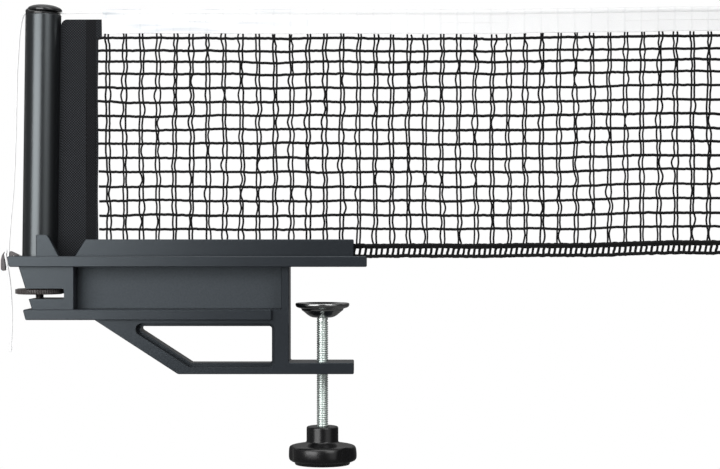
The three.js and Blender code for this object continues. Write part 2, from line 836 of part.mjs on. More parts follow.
// The tape is folded over the tension cord, so its top edge is a roll.
function netTopTape() {
  const long = netRight - sleeveTab - tapeLeft;
  const section = [new THREE.Vector2(-tapeThick / 2, tapeBottom), new THREE.Vector2(tapeThick / 2, tapeBottom)];
  const rollStart = -Math.acos(tapeThick / 2 / tapeRollRadius);
  for (let k = 0; k <= 10; k += 1) {
    const angle = rollStart + ((Math.PI - 2 * rollStart) * k) / 10;
    section.push(new THREE.Vector2(
      tapeRollRadius * Math.cos(angle),
      tapeRollZ + tapeRollRadius * Math.sin(angle),
    ));
  }
  const settings = { depth: long, steps: riseSteps, bevelEnabled: false };
  const geometry = new THREE.ExtrudeGeometry(new THREE.Shape(section), settings);
  geometry.rotateX(Math.PI / 2).rotateZ(Math.PI / 2).translate(tapeLeft, 0, 0);
  const pocket = rodX(cordDiameter / 2 + fitGap, tapeLeft - overrun, tapeLeft + tapePocket, tapeRollZ, 16);
  return raised(toSolid(geometry)).subtract(pocket);
}

// The tension cord leaves the tape, crosses the cap and is made fast on the hook.
const hookTurnRadius = hookNeckRadius + cordDiameter / 2 + fitGap;

function cordRoute() {
  const points = [
    [-114.3, 0, 147],
    [-126.8, 0, 147],
    [-135, 0, 146.8],
    [-143, 0, 146.58],
    [-150.5, 0, 146.4],
    [-161.5, 0, 146.42],
    [-170.4, 0, 146.65],
    [-172.6, 0, 146.35],
    [-174, 0, 144.8],
    [-174.9, -0.1, 140],
    [-175.6, -0.2, 131],
    [-176.5, -0.5, 108],
    [-177.4, -1, 76],
    [-178.3, -1.5, 44],
    [-179.6, -2.1, 20],
    [-180.7, -2.45, 11],
  ];
  const turnStart = -181.1;
  const turnSteps = 14;
  for (let k = 0; k <= turnSteps; k += 1) {
    const angle = (2 * Math.PI * k) / turnSteps;
    points.push([
      turnStart - (hookTurnPitch * k) / turnSteps,
      -hookTurnRadius * Math.cos(angle),
      hookNeckZ - hookTurnRadius * Math.sin(angle),
    ]);
  }
  points.push(
    [-182.2, -2.3, 3],
    [-181.2, -1.7, -1],
    [-180.5, -0.9, -5],
    [-179.8, -0.3, -14],
    [-179.4, 0, -28],
    [-179.6, 0, -40],
    [-179.9, 0, -46.8],
  );
  return points;
}

// The tube's steps follow the chosen points, so the turn round the hook gets most of them.
class CordCurve extends THREE.CatmullRomCurve3 {
  getPointAt(share) {
    return this.getPoint(share);
  }

  getTangentAt(share) {
    return this.getTangent(share);
  }

  getSpacedPoints(steps) {
    return this.getPoints(steps);
  }
}

function tensionCord() {
  const route = cordRoute().map((point) => new THREE.Vector3(...point));
  const path = new CordCurve(route, false, 'centripetal');
  const section = [];
  for (let k = 0; k < 8; k += 1) {
    const angle = (Math.PI * k) / 4;
    section.push(new THREE.Vector2((cordDiameter / 2) * Math.cos(angle), (cordDiameter / 2) * Math.sin(angle)));
  }
  const settings = { steps: 2 * (route.length - 1), extrudePath: path, bevelEnabled: false };
  return toSolid(new THREE.ExtrudeGeometry(new THREE.Shape(section), settings));
}

// ---------- assembly ----------
const leanRun = Math.tan(postLean);
const rodFootX = postX + rodOffset + leanRun * (sleeveBottom - footZ);
const farEdge = netRight + fitGap;
const farRodX = farEdge + farSleeveWidth - rodRadius - fitGap - sleeveLoopWall;

const clamp = new THREE.Group();
clamp.add(
  toMesh('bracket', bracket(), 'moulding'),
  toMesh('jaw_nut', nut(nutAcross, nutThick, screwRadius + fitGap, jawBottom), 'zinc'),
  toMesh('height_nut', nut(stemNutAcross, stemNutThick, stemRadius + fitGap, flangeBottom, postX), 'zinc'),
  toMesh('cord_hook', cordHook(), 'hook'),
  toMesh('clamp_screw', clampScrew(), 'zinc'),
  toMesh('swivel_washer', swivelWasher(), 'zinc'),
  toMesh('pressure_dish', pressureDish(), 'darkSteel'),
  toMesh('star_knob', starKnob(), 'knob'),
  toMesh('knob_insert', knobInsert(), 'brass'),
);

const wheelGroup = new THREE.Group();
wheelGroup.position.set(postX, 0, 0);
wheelGroup.add(
  toMesh('height_screw', heightScrew(), 'blackSteel'),
  toMesh('thumbwheel', thumbwheel(), 'wheel'),
);

const postGroup = new THREE.Group();
postGroup.position.set(postX, 0, footZ);
postGroup.rotation.y = postLean;
const rodLow = slitStart + overrun + fitGap;
const rod = toMesh('net_rod', rodZ(rodRadius, rodLow, sleeveTop - footZ - sleeveStep), 'drawnSteel');
rod.position.x = rodOffset;
postGroup.add(
  toMesh('post_tube', postTube(), 'paint'),
  toMesh('post_foot', postFoot(), 'cap'),
  toMesh('post_cap', postCap(), 'cap'),
  toMesh('cap_button', capButton(), 'cap'),
  rod,
);

const netGroup = new THREE.Group();
const farSleeve = toMesh('far_sleeve', sleeve(farRodX, farEdge, -1, 0), 'fabric');
farSleeve.position.z = netRise;
const farRod = toMesh('far_rod', rodZ(rodRadius, sleeveBottom, sleeveTop - sleeveStep), 'drawnSteel');
farRod.position.set(farRodX, 0, netRise);
netGroup.add(
  toMesh('net_sleeve', sleeve(rodFootX, sleeveRight, 1, leanRun), 'fabric'),
  toMesh('net_mesh', netMesh(), 'thread'),
  toMesh('net_hem', netHem(), 'thread'),
  toMesh('net_top_tape', netTopTape(), 'white'),
  farSleeve,
  farRod,
  toMesh('tension_cord', tensionCord(), 'white'),
);

clamp.add(wheelGroup, postGroup, netGroup);

export default clamp;
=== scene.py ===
import math

import bmesh
import bpy
import numpy as np
from mathutils import Matrix, Vector


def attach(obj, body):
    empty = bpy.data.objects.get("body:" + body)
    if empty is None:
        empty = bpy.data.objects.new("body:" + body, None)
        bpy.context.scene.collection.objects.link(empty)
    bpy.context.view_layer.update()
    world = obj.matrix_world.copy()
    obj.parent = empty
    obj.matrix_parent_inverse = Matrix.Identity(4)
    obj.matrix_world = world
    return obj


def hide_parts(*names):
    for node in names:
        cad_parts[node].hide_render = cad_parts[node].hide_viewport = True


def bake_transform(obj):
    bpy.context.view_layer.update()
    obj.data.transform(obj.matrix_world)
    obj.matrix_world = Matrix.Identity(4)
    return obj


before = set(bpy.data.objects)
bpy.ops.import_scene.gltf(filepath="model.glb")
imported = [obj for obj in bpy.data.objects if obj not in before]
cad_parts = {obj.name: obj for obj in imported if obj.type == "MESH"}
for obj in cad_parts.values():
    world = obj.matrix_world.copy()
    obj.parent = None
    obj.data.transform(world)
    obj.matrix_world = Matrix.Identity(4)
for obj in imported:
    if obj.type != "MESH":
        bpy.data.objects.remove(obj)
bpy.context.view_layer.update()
scene = bpy.context.scene
mm = 0.001
fullTurn = 2 * math.pi

# the camera looks square at the net, as in the photograph; places in millimetres
shot = {"x": 21.7, "z": 18.4, "distance": 1050, "lens": 90.83, "sensor": 36, "near": 10}
cameraData = bpy.data.cameras.new("camera")
cameraData.lens = shot["lens"]
cameraData.sensor_width = shot["sensor"]
cameraData.clip_start = shot["near"] * mm
camera = bpy.data.objects.new("camera", cameraData)
camera.location = (shot["x"] * mm, -shot["distance"] * mm, shot["z"] * mm)
camera.rotation_euler = (math.pi / 2, 0, 0)
scene.collection.objects.link(camera)
scene.camera = camera

mergeWithin = 0.000002  # points closer than this, in metres, are one
mapUnit = 10  # millimetres to one unit of a cloth's or cord's own map


# a smooth curve through all the points, carried straight on at both ends
def smoothLine(points, steps):
    points = np.array(points, float)
    padded = np.vstack([2 * points[0] - points[1], points, 2 * points[-1] - points[-2]])
    line = []
    for i in range(1, len(points)):
        a, b, c, d = padded[i - 1:i + 3]
        for s in np.linspace(0, 1, steps, endpoint=False):
            bend = (2 * a - 5 * b + 4 * c - d) * s ** 2 + (3 * b - a - 3 * c + d) * s ** 3
            line.append(0.5 * (2 * b + (c - a) * s + bend))
    return np.array(line + [points[-1]])


def addObject(name, mesh):
    made = bpy.data.objects.new(name, mesh)
    scene.collection.objects.link(made)
    return made


# joins double points, turns the faces outwards and keeps edges sharper than an angle crisp
def tidy(mesh, sharp=40):
    work = bmesh.new()
    work.from_mesh(mesh)
    bmesh.ops.remove_doubles(work, verts=work.verts, dist=mergeWithin)
    bmesh.ops.dissolve_degenerate(work, edges=work.edges, dist=mergeWithin / 20)
    bmesh.ops.recalc_face_normals(work, faces=work.faces)
    work.to_mesh(mesh)
    work.free()
    mesh.shade_smooth()
    mesh.set_sharp_from_angle(angle=math.radians(sharp))


# rows of points that each close to a ring become a skin, with or without caps on the first and last row
def skin(name, rows, capped=False, uv=None, sharp=40):
    rows = np.array(rows, float)
    count, wide = rows.shape[:2]
    faces, corners = [], []
    for i in range(count - 1):
        for j in range(wide):
            beside = (j + 1) % wide
            faces.append((i * wide + j, i * wide + beside, (i + 1) * wide + beside, (i + 1) * wide + j))
            corners.append(((i, j), (i, j + 1), (i + 1, j + 1), (i + 1, j)))
    if capped:
        faces += [tuple(range(wide - 1, -1, -1)), tuple((count - 1) * wide + j for j in range(wide))]
    mesh = bpy.data.meshes.new(name)
    mesh.from_pydata((rows.reshape(-1, 3) * mm).tolist(), [], faces)
    if uv is not None:
        layer = mesh.uv_layers.new(name="UVMap")
        flat = [uv(i, j) for face in corners for i, j in face]
        flat += [(0, 0)] * (len(mesh.loops) - len(flat))  # the caps
        layer.data.foreach_set("uv", np.array(flat, np.float32).ravel())
    tidy(mesh, sharp)
    return addObject(name, mesh)


# a profile of (radius, height) turned about the upright line through x
def turned(name, profile, steps=96, x=0, sharp=40):
    angles = np.linspace(0, fullTurn, steps, endpoint=False)
    rows = [[(x + r * math.cos(a), r * math.sin(a), z) for a in angles] for r, z in profile]
    return skin(name, rows, sharp=sharp)


def runningLength(points):
    return np.concatenate([[0], np.cumsum(np.linalg.norm(np.diff(points, axis=0), axis=1))])


# a round cord along a path, with a map that runs along it
def tube(name, path, radius, sides):
    path = np.array(path, float)
    tangents = np.gradient(path, axis=0)
    tangents /= np.linalg.norm(tangents, axis=1)[:, None]
    side = np.cross(tangents[0], (0.0, 1.0, 0.0))
    angles = np.linspace(0, fullTurn, sides, endpoint=False)
    lengths = runningLength(path)
    rows = []
    for point, along in zip(path, tangents):
        side = side - along * np.dot(side, along)
        side /= np.linalg.norm(side)
        up = np.cross(along, side)
        rows.append([point + radius * (math.cos(a) * side + math.sin(a) * up) for a in angles])
    return skin(name, rows, capped=True, uv=lambda i, j: (lengths[i] / mapUnit, j / sides))


# fills the open ends of a skin
def closed(made):
    work = bmesh.new()
    work.from_mesh(made.data)
    bmesh.ops.holes_fill(work, edges=[e for e in work.edges if e.is_boundary])
    bmesh.ops.recalc_face_normals(work, faces=work.faces)
    work.to_mesh(made.data)
    work.free()
    return made


# A cloth strip: its section is a line that gets a thickness, and at() places each of its points at a share of
# the run. Faces between the cloth's two sides close both ends.
def strip(name, section, thickness, at, stations):
    section = np.array(section, float)
    along = np.gradient(section, axis=0)
    along /= np.linalg.norm(along, axis=1)[:, None]
    normal = np.stack([-along[:, 1], along[:, 0]], 1) * thickness / 2
    lengths = runningLength(section)
    ring = np.vstack([section + normal, (section - normal)[::-1]])
    reach = np.concatenate([lengths, lengths[::-1]])
    shares = np.linspace(0, 1, stations)
    rows = [[at(s, a, b) for a, b in ring] for s in shares]
    run = np.linalg.norm(np.array(rows[-1][0]) - np.array(rows[0][0]))
    made = skin(name, rows, uv=lambda i, j: (shares[i] * run / mapUnit, reach[j % len(ring)] / mapUnit))
    last = len(ring) - 1
    work = bmesh.new()
    work.from_mesh(made.data)
    work.verts.ensure_lookup_table()
    for first in (0, (stations - 1) * len(ring)):
        for k in range(len(section) - 1):
            work.faces.new([work.verts[first + j] for j in (k, k + 1, last - 1 - k, last - k)])
    work.to_mesh(made.data)
    work.free()
    tidy(made.data)
    return made


# a copy of a CAD node with softened edges and smooth shading; angles in degrees
softening = {"flat": 0.5, "corner": 35, "segments": 2}


def softened(node, name, bevel=0, sharp=30):
    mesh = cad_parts[node].data.copy()
    mesh.materials.clear()
    work = bmesh.new()
    work.from_mesh(mesh)
    bmesh.ops.remove_doubles(work, verts=work.verts, dist=mergeWithin)
    flat = math.radians(softening["flat"])
    bmesh.ops.dissolve_limit(work, angle_limit=flat, verts=work.verts, edges=work.edges)
    work.to_mesh(mesh)
    work.free()
    mesh.shade_smooth()
    mesh.set_sharp_from_angle(angle=math.radians(sharp))
    made = addObject(name, mesh)
    if bevel:
        rounding = made.modifiers.new("rounding", "BEVEL")
        rounding.width = bevel * mm
        rounding.segments = softening["segments"]
        rounding.limit_method = "ANGLE"
        rounding.angle_limit = math.radians(softening["corner"])
        evener = made.modifiers.new("evener", "WEIGHTED_NORMAL")  # flat faces keep an even shade
        evener.weight = 100
        evener.keep_sharp = True
        settle(made)
    return made


# turns an object with modifiers into a plain mesh
def settle(made):
    graph = bpy.context.evaluated_depsgraph_get()
    made.data = bpy.data.meshes.new_from_object(made.evaluated_get(graph))
    made.modifiers.clear()


# gives a piece its material and the body it moves with, and hides the CAD nodes it stands for
def dress(obj, material, body, replaced=()):
    obj.data.materials.clear()
    obj.data.materials.append(material)
    if body:
        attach(obj, body)
    if replaced:
        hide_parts(*replaced)
    return obj


# a node's output, on which plain arithmetic adds Math nodes
class Wire:
    def __init__(self, graph, socket):
        self.graph = graph
        self.socket = socket

    def __add__(self, other):
        return self.graph.maths("ADD", self, other)

    def __radd__(self, other):
        return self.graph.maths("ADD", other, self)

    def __sub__(self, other):
        return self.graph.maths("SUBTRACT", self, other)

    def __rsub__(self, other):
        return self.graph.maths("SUBTRACT", other, self)

    def __mul__(self, other):
        return self.graph.maths("MULTIPLY", self, other)

    def __rmul__(self, other):
        return self.graph.maths("MULTIPLY", other, self)

    def __truediv__(self, other):
        return self.graph.maths("DIVIDE", self, other)

    def __rtruediv__(self, other):
        return self.graph.maths("DIVIDE", other, self)

    def __pow__(self, other):
        return self.graph.maths("POWER", self, other)

    def __rpow__(self, other):
        return self.graph.maths("POWER", other, self)


class Graph:
    def __init__(self, tree):
        self.tree = tree

    def put(self, socket, value):
        if isinstance(value, Wire):
            self.tree.links.new(value.socket, socket)
        elif socket.type == "RGBA":
            socket.default_value = (*value[:3], 1)
        else:
            socket.default_value = value

    def node(self, kind, settings=None, sockets=None):
        made = self.tree.nodes.new(kind)
        for key, value in (settings or {}).items():
            setattr(made, key, value)
        for key, value in (sockets or {}).items():
            self.put(made.inputs[key], value)
        return made

    def wire(self, kind, settings=None, sockets=None, output=0):
        return Wire(self, self.node(kind, settings, sockets).outputs[output])

    def maths(self, operation, *values):
        return self.wire("ShaderNodeMath", {"operation": operation}, dict(enumerate(values)))

    def vector(self, operation, *values, output=0):
        return self.wire("ShaderNodeVectorMath", {"operation": operation}, dict(enumerate(values)), output)

    def split(self, vector):
        made = self.node("ShaderNodeSeparateXYZ", None, {0: vector})
        return [Wire(self, output) for output in made.outputs]

    def mixed(self, share, a, b):
        return self.wire("ShaderNodeMix", {"data_type": "RGBA"}, {0: share, 6: a, 7: b}, 2)

    def noise(self, where, scale, detail=2, roughness=0.5):
        return self.wire("ShaderNodeTexNoise", None, {
            "Vector": where, "Scale": scale, "Detail": detail, "Roughness": roughness,
        })

    def ranged(self, value, fromLow, fromHigh, toLow=0, toHigh=1):
        return self.wire("ShaderNodeMapRange", {"interpolation_type": "SMOOTHSTEP"}, {
            0: value, 1: fromLow, 2: fromHigh, 3: toLow, 4: toHigh,
        })

    def sineShare(self, phase):
        return self.maths("SINE", phase) * 0.5 + 0.5

    def coordinates(self, kind="Object"):
        return self.wire("ShaderNodeTexCoord", output=kind)

    def bumped(self, height, distance):
        return self.wire("ShaderNodeBump", None, {"Strength": 1.0, "Distance": distance, "Height": height})


def material(name):
    made = bpy.data.materials.new(name)
    made.use_nodes = True
    graph = Graph(made.node_tree)
    return made, graph, made.node_tree.nodes["Principled BSDF"].inputs


# Plastic or paint: a base colour with a slow mottle, and a fine grain in the gloss and the surface.
# Inside the panel box the surface is a coarser, rougher grain, and its paler colour is painted light on the
# recessed panel.
def coated(name, low, high, roughness, grain=900, depth=0.00002, ior=1.5, tint=(1, 1, 1), grainAndLitPanel=None):
    made, graph, shader = material(name)
    where = graph.coordinates()
    mottle = graph.noise(where, 60, 3)
    fine = graph.noise(where, grain, 2)
    colour = graph.mixed(mottle, low, high)
    gloss = roughness + (fine - 0.5) * 0.08
    height = fine * depth
    if grainAndLitPanel:
        inside = 1
        for axis, (first, last) in zip(graph.split(where), grainAndLitPanel["box"]):
            middle, half = (first + last) / 2 * mm, (last - first) / 2 * mm
            apart = graph.maths("ABSOLUTE", axis - middle)
            inside = graph.ranged(apart, half - grainAndLitPanel["edge"], half + grainAndLitPanel["edge"], 1.0, 0.0) * inside
        coarse = graph.noise(where, grainAndLitPanel["grain"], 2)
        # the paler colour in the panel box is painted light on the recessed web panel; its coarser grain is
        # real
        colour = graph.mixed(inside, colour, graph.mixed(coarse, grainAndLitPanel["low"], grainAndLitPanel["high"]))
        gloss = gloss + inside * (grainAndLitPanel["roughness"] - roughness)
        height = height + inside * coarse * grainAndLitPanel["depth"]
    graph.put(shader["Base Color"], colour)
    graph.put(shader["Roughness"], gloss)
    graph.put(shader["Normal"], graph.bumped(height, 1))
    graph.put(shader["Specular Tint"], tint)
    shader["IOR"].default_value = ior
    return made


# Metal with fine marks; stretch gives how fine they are along X, Y and Z.
def machined(name, low, high, roughness, stretch=(400, 400, 4000), depth=0.000006):
    made, graph, shader = material(name)
    where = graph.coordinates()
    marks = graph.noise(graph.vector("MULTIPLY", where, stretch), 1, 3)
    stain = graph.noise(where, 90, 4)
    graph.put(shader["Base Color"], graph.mixed(stain, low, high))
    graph.put(shader["Roughness"], roughness + (marks - 0.5) * 0.2)
    graph.put(shader["Normal"], graph.bumped(marks, depth))
    shader["Metallic"].default_value = 1
    return made


# Woven cloth on the strip's own map: diagonal ribs that cross. A band can be dark between two places along X,
# ridges can stand at a pitch along X with painted shade along them, and the painted shade of long folds can
# darken the colour up to where it fades.
def woven(name, low, high, pitch, depth, sheen, dark=None, shadedRidges=None, paintedFoldShade=None):
    made, graph, shader = material(name)
    u, v = graph.split(graph.coordinates("UV"))[:2]
    turns = fullTurn * mapUnit / pitch
    weave = (graph.sineShare((u + v) * turns) * 0.5 + graph.sineShare((u - v) * turns) * 0.5) ** 2
    colour = graph.mixed(weave, low, high)
    height = weave * depth
    where = graph.coordinates()
    x = graph.split(where)[0]
    if dark:
        first, last, edge = dark["from"] * mm, dark["to"] * mm, dark["edge"] * mm
        band = graph.ranged(x, first - edge, first) * (1 - graph.ranged(x, last, last + edge))
        colour = graph.mixed(band * dark["share"], colour, dark["colour"])
    if shadedRidges:
        wave = graph.maths("SINE", (x - shadedRidges["start"] * mm) * (fullTurn / (shadedRidges["pitch"] * mm)))
        ridge = graph.ranged(wave, shadedRidges["above"], 1)
        # the darker tint along each ridge is painted shade of the net column inside the tape; the ridge's
        # height is real
        colour = graph.mixed(ridge * shadedRidges["share"], colour, shadedRidges["colour"])
        height = height + ridge * shadedRidges["height"] * mm
    if paintedFoldShade:
        long = graph.vector("MULTIPLY", where, paintedFoldShade["stretch"])
        # painted shade of long folds: it changes only the colour, not the surface
        foldShadeShare = graph.ranged(graph.noise(long, 1, 2), *paintedFoldShade["noise"]) * (1 - graph.ranged(x, *paintedFoldShade["fade"]))
        colour = graph.mixed(foldShadeShare * paintedFoldShade["share"], colour, paintedFoldShade["colour"])
    slow = graph.noise(where, 90, 2)
    graph.put(shader["Base Color"], colour)
    graph.put(shader["Roughness"], 0.85 + (slow - 0.5) * 0.1)
    graph.put(shader["Normal"], graph.bumped(height + slow * 0.00015, 1))
    shader["Specular IOR Level"].default_value = 0.15
    shader["Sheen Weight"].default_value = sheen
    shader["Sheen Roughness"].default_value = 0.5
    return made


# Thread: a fuzzy surface with a slight change of tone.
def thread(name, low, high, sheen=0.2, gloss=0.2):
    made, graph, shader = material(name)
    fuzz = graph.noise(graph.coordinates(), 1800, 3, 0.7)
    graph.put(shader["Base Color"], graph.mixed(fuzz, low, high))
    graph.put(shader["Roughness"], 0.8 + (fuzz - 0.5) * 0.2)
    graph.put(shader["Normal"], graph.bumped(fuzz, 0.0002))
    shader["Specular IOR Level"].default_value = gloss
    shader["Sheen Weight"].default_value = sheen
    return made


# Braided cord: slanting bands both ways round its own map, 8 to a unit along it and 3 round it.
def braided(name, low, high):
    made, graph, shader = material(name)
    u, v = graph.split(graph.coordinates("UV"))[:2]
    one = graph.sineShare((u * 8 + v * 3) * 2 * math.pi)
    two = graph.sineShare((u * 8 - v * 3) * 2 * math.pi)
    height = graph.maths("MAXIMUM", one, two)
    graph.put(shader["Base Color"], graph.mixed(height, low, high))
    graph.put(shader["Roughness"], 0.75 + height * 0.1)
    graph.put(shader["Normal"], graph.bumped(height, 0.0001))
    return made


# The finishes. Each colour lies between two, and lengths without another word are in metres here.
turnedMarks = {"stretch": (60, 60, 300), "depth": 0.000001}
sleeveCloth = {"low": (0.001, 0.001, 0.0012), "high": (0.044, 0.048, 0.055), "pitch": 1.55, "depth": 0.00015}
looks = {
    "moulding": coated(
        "moulding", (0.010, 0.0115, 0.0145), (0.014, 0.0165, 0.0205), 0.32, grain=1100, depth=0.00003,
        # the web panel's box: a coarser, rougher grain, with a paler colour that is painted light on the
        # recessed panel
        tint=(0.82, 0.93, 1), grainAndLitPanel={
            "box": [(-141.1, -23.6), (-2.6, 2.6), (-24.2, 0)], "edge": 0.0002, "low": (0.024, 0.028, 0.033),
            "high": (0.044, 0.05, 0.058), "roughness": 0.5, "grain": 900, "depth": 0.00006,
        },
    ),
    "hook": coated("hook plastic", (0.04, 0.034, 0.036), (0.055, 0.046, 0.048), 0.4),
    "paint": coated(
        "post paint", (0.003, 0.0033, 0.0038), (0.0042, 0.0046, 0.0052), 0.3, grain=1500, depth=0.00001,
        ior=1.75, tint=(0.88, 0.96, 1),
    ),
    "cap": coated("cap plastic", (0.011, 0.0115, 0.012), (0.016, 0.0165, 0.017), 0.22),
    "knob": coated("knob plastic", (0.003, 0.003, 0.0033), (0.0045, 0.0045, 0.005), 0.26, ior=1.45),
    "wheel": coated("wheel plastic", (0.036, 0.03, 0.029), (0.052, 0.044, 0.042), 0.35),
    "zinc": machined("zinc plate", (0.78, 0.85, 0.82), (0.88, 0.94, 0.91), 0.37, **turnedMarks),
    "dish": machined("dish steel", (0.27, 0.275, 0.275), (0.33, 0.335, 0.33), 0.17, **turnedMarks),
    "brass": machined("brass", (0.6, 0.46, 0.22), (0.7, 0.55, 0.28), 0.3),
    "blackSteel": machined("black steel", (0.035, 0.03, 0.03), (0.06, 0.055, 0.05), 0.4),
    "drawn": machined("drawn steel", (0.36, 0.37, 0.38), (0.44, 0.45, 0.46), 0.3, (3000, 3000, 60)),
    "sleeve": woven(
        "sleeve fabric", **sleeveCloth, sheen=0.01,
        dark={"from": -136, "to": -131.2, "edge": 0.6, "share": 0.6, "colour": (0.0015, 0.0015, 0.002)},
    ),
    "farSleeve": woven("far sleeve fabric", **sleeveCloth, sheen=0.01),
    "tape": woven(
        "white tape", (0.8, 0.805, 0.81), (0.93, 0.93, 0.93), 0.55, 0.00004, sheen=0.1,
        # ridges over the net's columns inside the tape, with painted shade along them
        shadedRidges={
            "start": -127.2, "pitch": 9.65, "above": 0.86, "share": 0.1, "colour": (0.55, 0.56, 0.58),
            "height": 0.12,
        },
        # painted fold shade on the tape, fading out along it
        paintedFoldShade={
            "stretch": (26, 26, 260), "noise": (0.48, 0.66), "fade": (-0.115, 0.04), "share": 0.5,
            "colour": (0.4, 0.45, 0.5),
        },
    ),
    "thread": thread("net thread", (0.002, 0.002, 0.0022), (0.005, 0.005, 0.0055), sheen=0.03),
    "stitch": thread("white stitch", (0.78, 0.78, 0.78), (0.92, 0.92, 0.92)),
    "blackStitch": thread("black stitch", (0.002, 0.002, 0.002), (0.008, 0.008, 0.009), 0.02, 0.1),
    "cord": braided("white cord", (0.7, 0.71, 0.72), (0.92, 0.92, 0.92)),
}
print("materials", len(looks))

# the cord's route: from inside the tape, over the cap, down to the hook, once round it and to its loose end
cordValues = {
    "diameter": 1.2, "sides": 12, "turnStart": -181.1, "turnPitch": 1.7, "turnRadius": 2.5, "turnHeight": 6.4,
    "turnSteps": 14, "bendSteps": 6,
}
cordPoints = [
    (-114.3, 0, 147), (-126.8, 0, 147), (-135, 0, 146.8), (-143, 0, 146.58), (-150.5, 0, 146.4),
    (-161.5, 0, 146.42), (-170.2, 0, 146.75), (-171.9, 0, 146.2), (-172.9, 0, 144.9), (-173.8, -0.1, 142.2),
    (-174.9, -0.2, 135.5), (-175.8, -0.4, 124), (-176.6, -0.6, 108), (-177.2, -1, 76), (-178.4, -1.5, 45),
    (-179.8, -2.1, 28), (-180.9, -2.45, 11),
]
for k in range(cordValues["turnSteps"] + 1):
    share = k / cordValues["turnSteps"]
    cordPoints.append((
        cordValues["turnStart"] - cordValues["turnPitch"] * share,
        -cordValues["turnRadius"] * math.cos(fullTurn * share),
        cordValues["turnHeight"] - cordValues["turnRadius"] * math.sin(fullTurn * share),
    ))
cordPoints += [
    (-182.2, -2.3, 3), (-181.6, -1.7, -1), (-181, -0.9, -5), (-180.2, -0.3, -14),
    (-179.6, 0, -28), (-179.8, 0, -40), (-180.3, 0, -46.8),
]
cordPath = smoothLine(cordPoints, cordValues["bendSteps"])
tensionCord = tube("tension_cord_look", cordPath, cordValues["diameter"] / 2, cordValues["sides"])
dress(tensionCord, looks["cord"], None, ["tension_cord"])
knotProfile = [
    (0, 0.9), (0.5, 0.8), (0.9, 0.3), (1.0, -0.4), (0.85, -1.2), (0.6, -1.6), (0.75, -2.1), (0.45, -2.6),
    (0, -2.7),
]
knot = turned("cord_end_knot", knotProfile, steps=20)
knot.data.transform(Matrix.Translation(Vector(cordPath[-1]) * mm))
dress(knot, looks["cord"], "bracket_body")
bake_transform(tensionCord)


def newGroup(name, inputs):
    tree = bpy.data.node_groups.new(name, "GeometryNodeTree")
    for label, kind in inputs.items():
        tree.interface.new_socket(label, in_out="INPUT", socket_type="NodeSocket" + kind)
    tree.interface.new_socket("Geometry", in_out="OUTPUT", socket_type="NodeSocketGeometry")
    graph = Graph(tree)
    given = tree.nodes.new("NodeGroupInput")
    return tree, graph, {label: Wire(graph, given.outputs[label]) for label in inputs}


# every group ends alike: its curve gets a round skin with closed ends, and the skin its material
def finishGroup(graph, curve, sides, radius, paint, smooth):
    ring = graph.wire("GeometryNodeCurvePrimitiveCircle", None, {"Resolution": sides, "Radius": radius})
    skinned = graph.wire("GeometryNodeCurveToMesh", None, {
        "Curve": curve, "Profile Curve": ring, "Fill Caps": True,
    })
    if smooth:
        skinned = graph.wire("GeometryNodeSetShadeSmooth", None, {"Geometry": skinned})
    whole = graph.wire("GeometryNodeRealizeInstances", None, {"Geometry": skinned})
    painted = graph.wire("GeometryNodeSetMaterial", None, {"Geometry": whole, "Material": paint})
    graph.node("NodeGroupOutput", None, {"Geometry": painted})


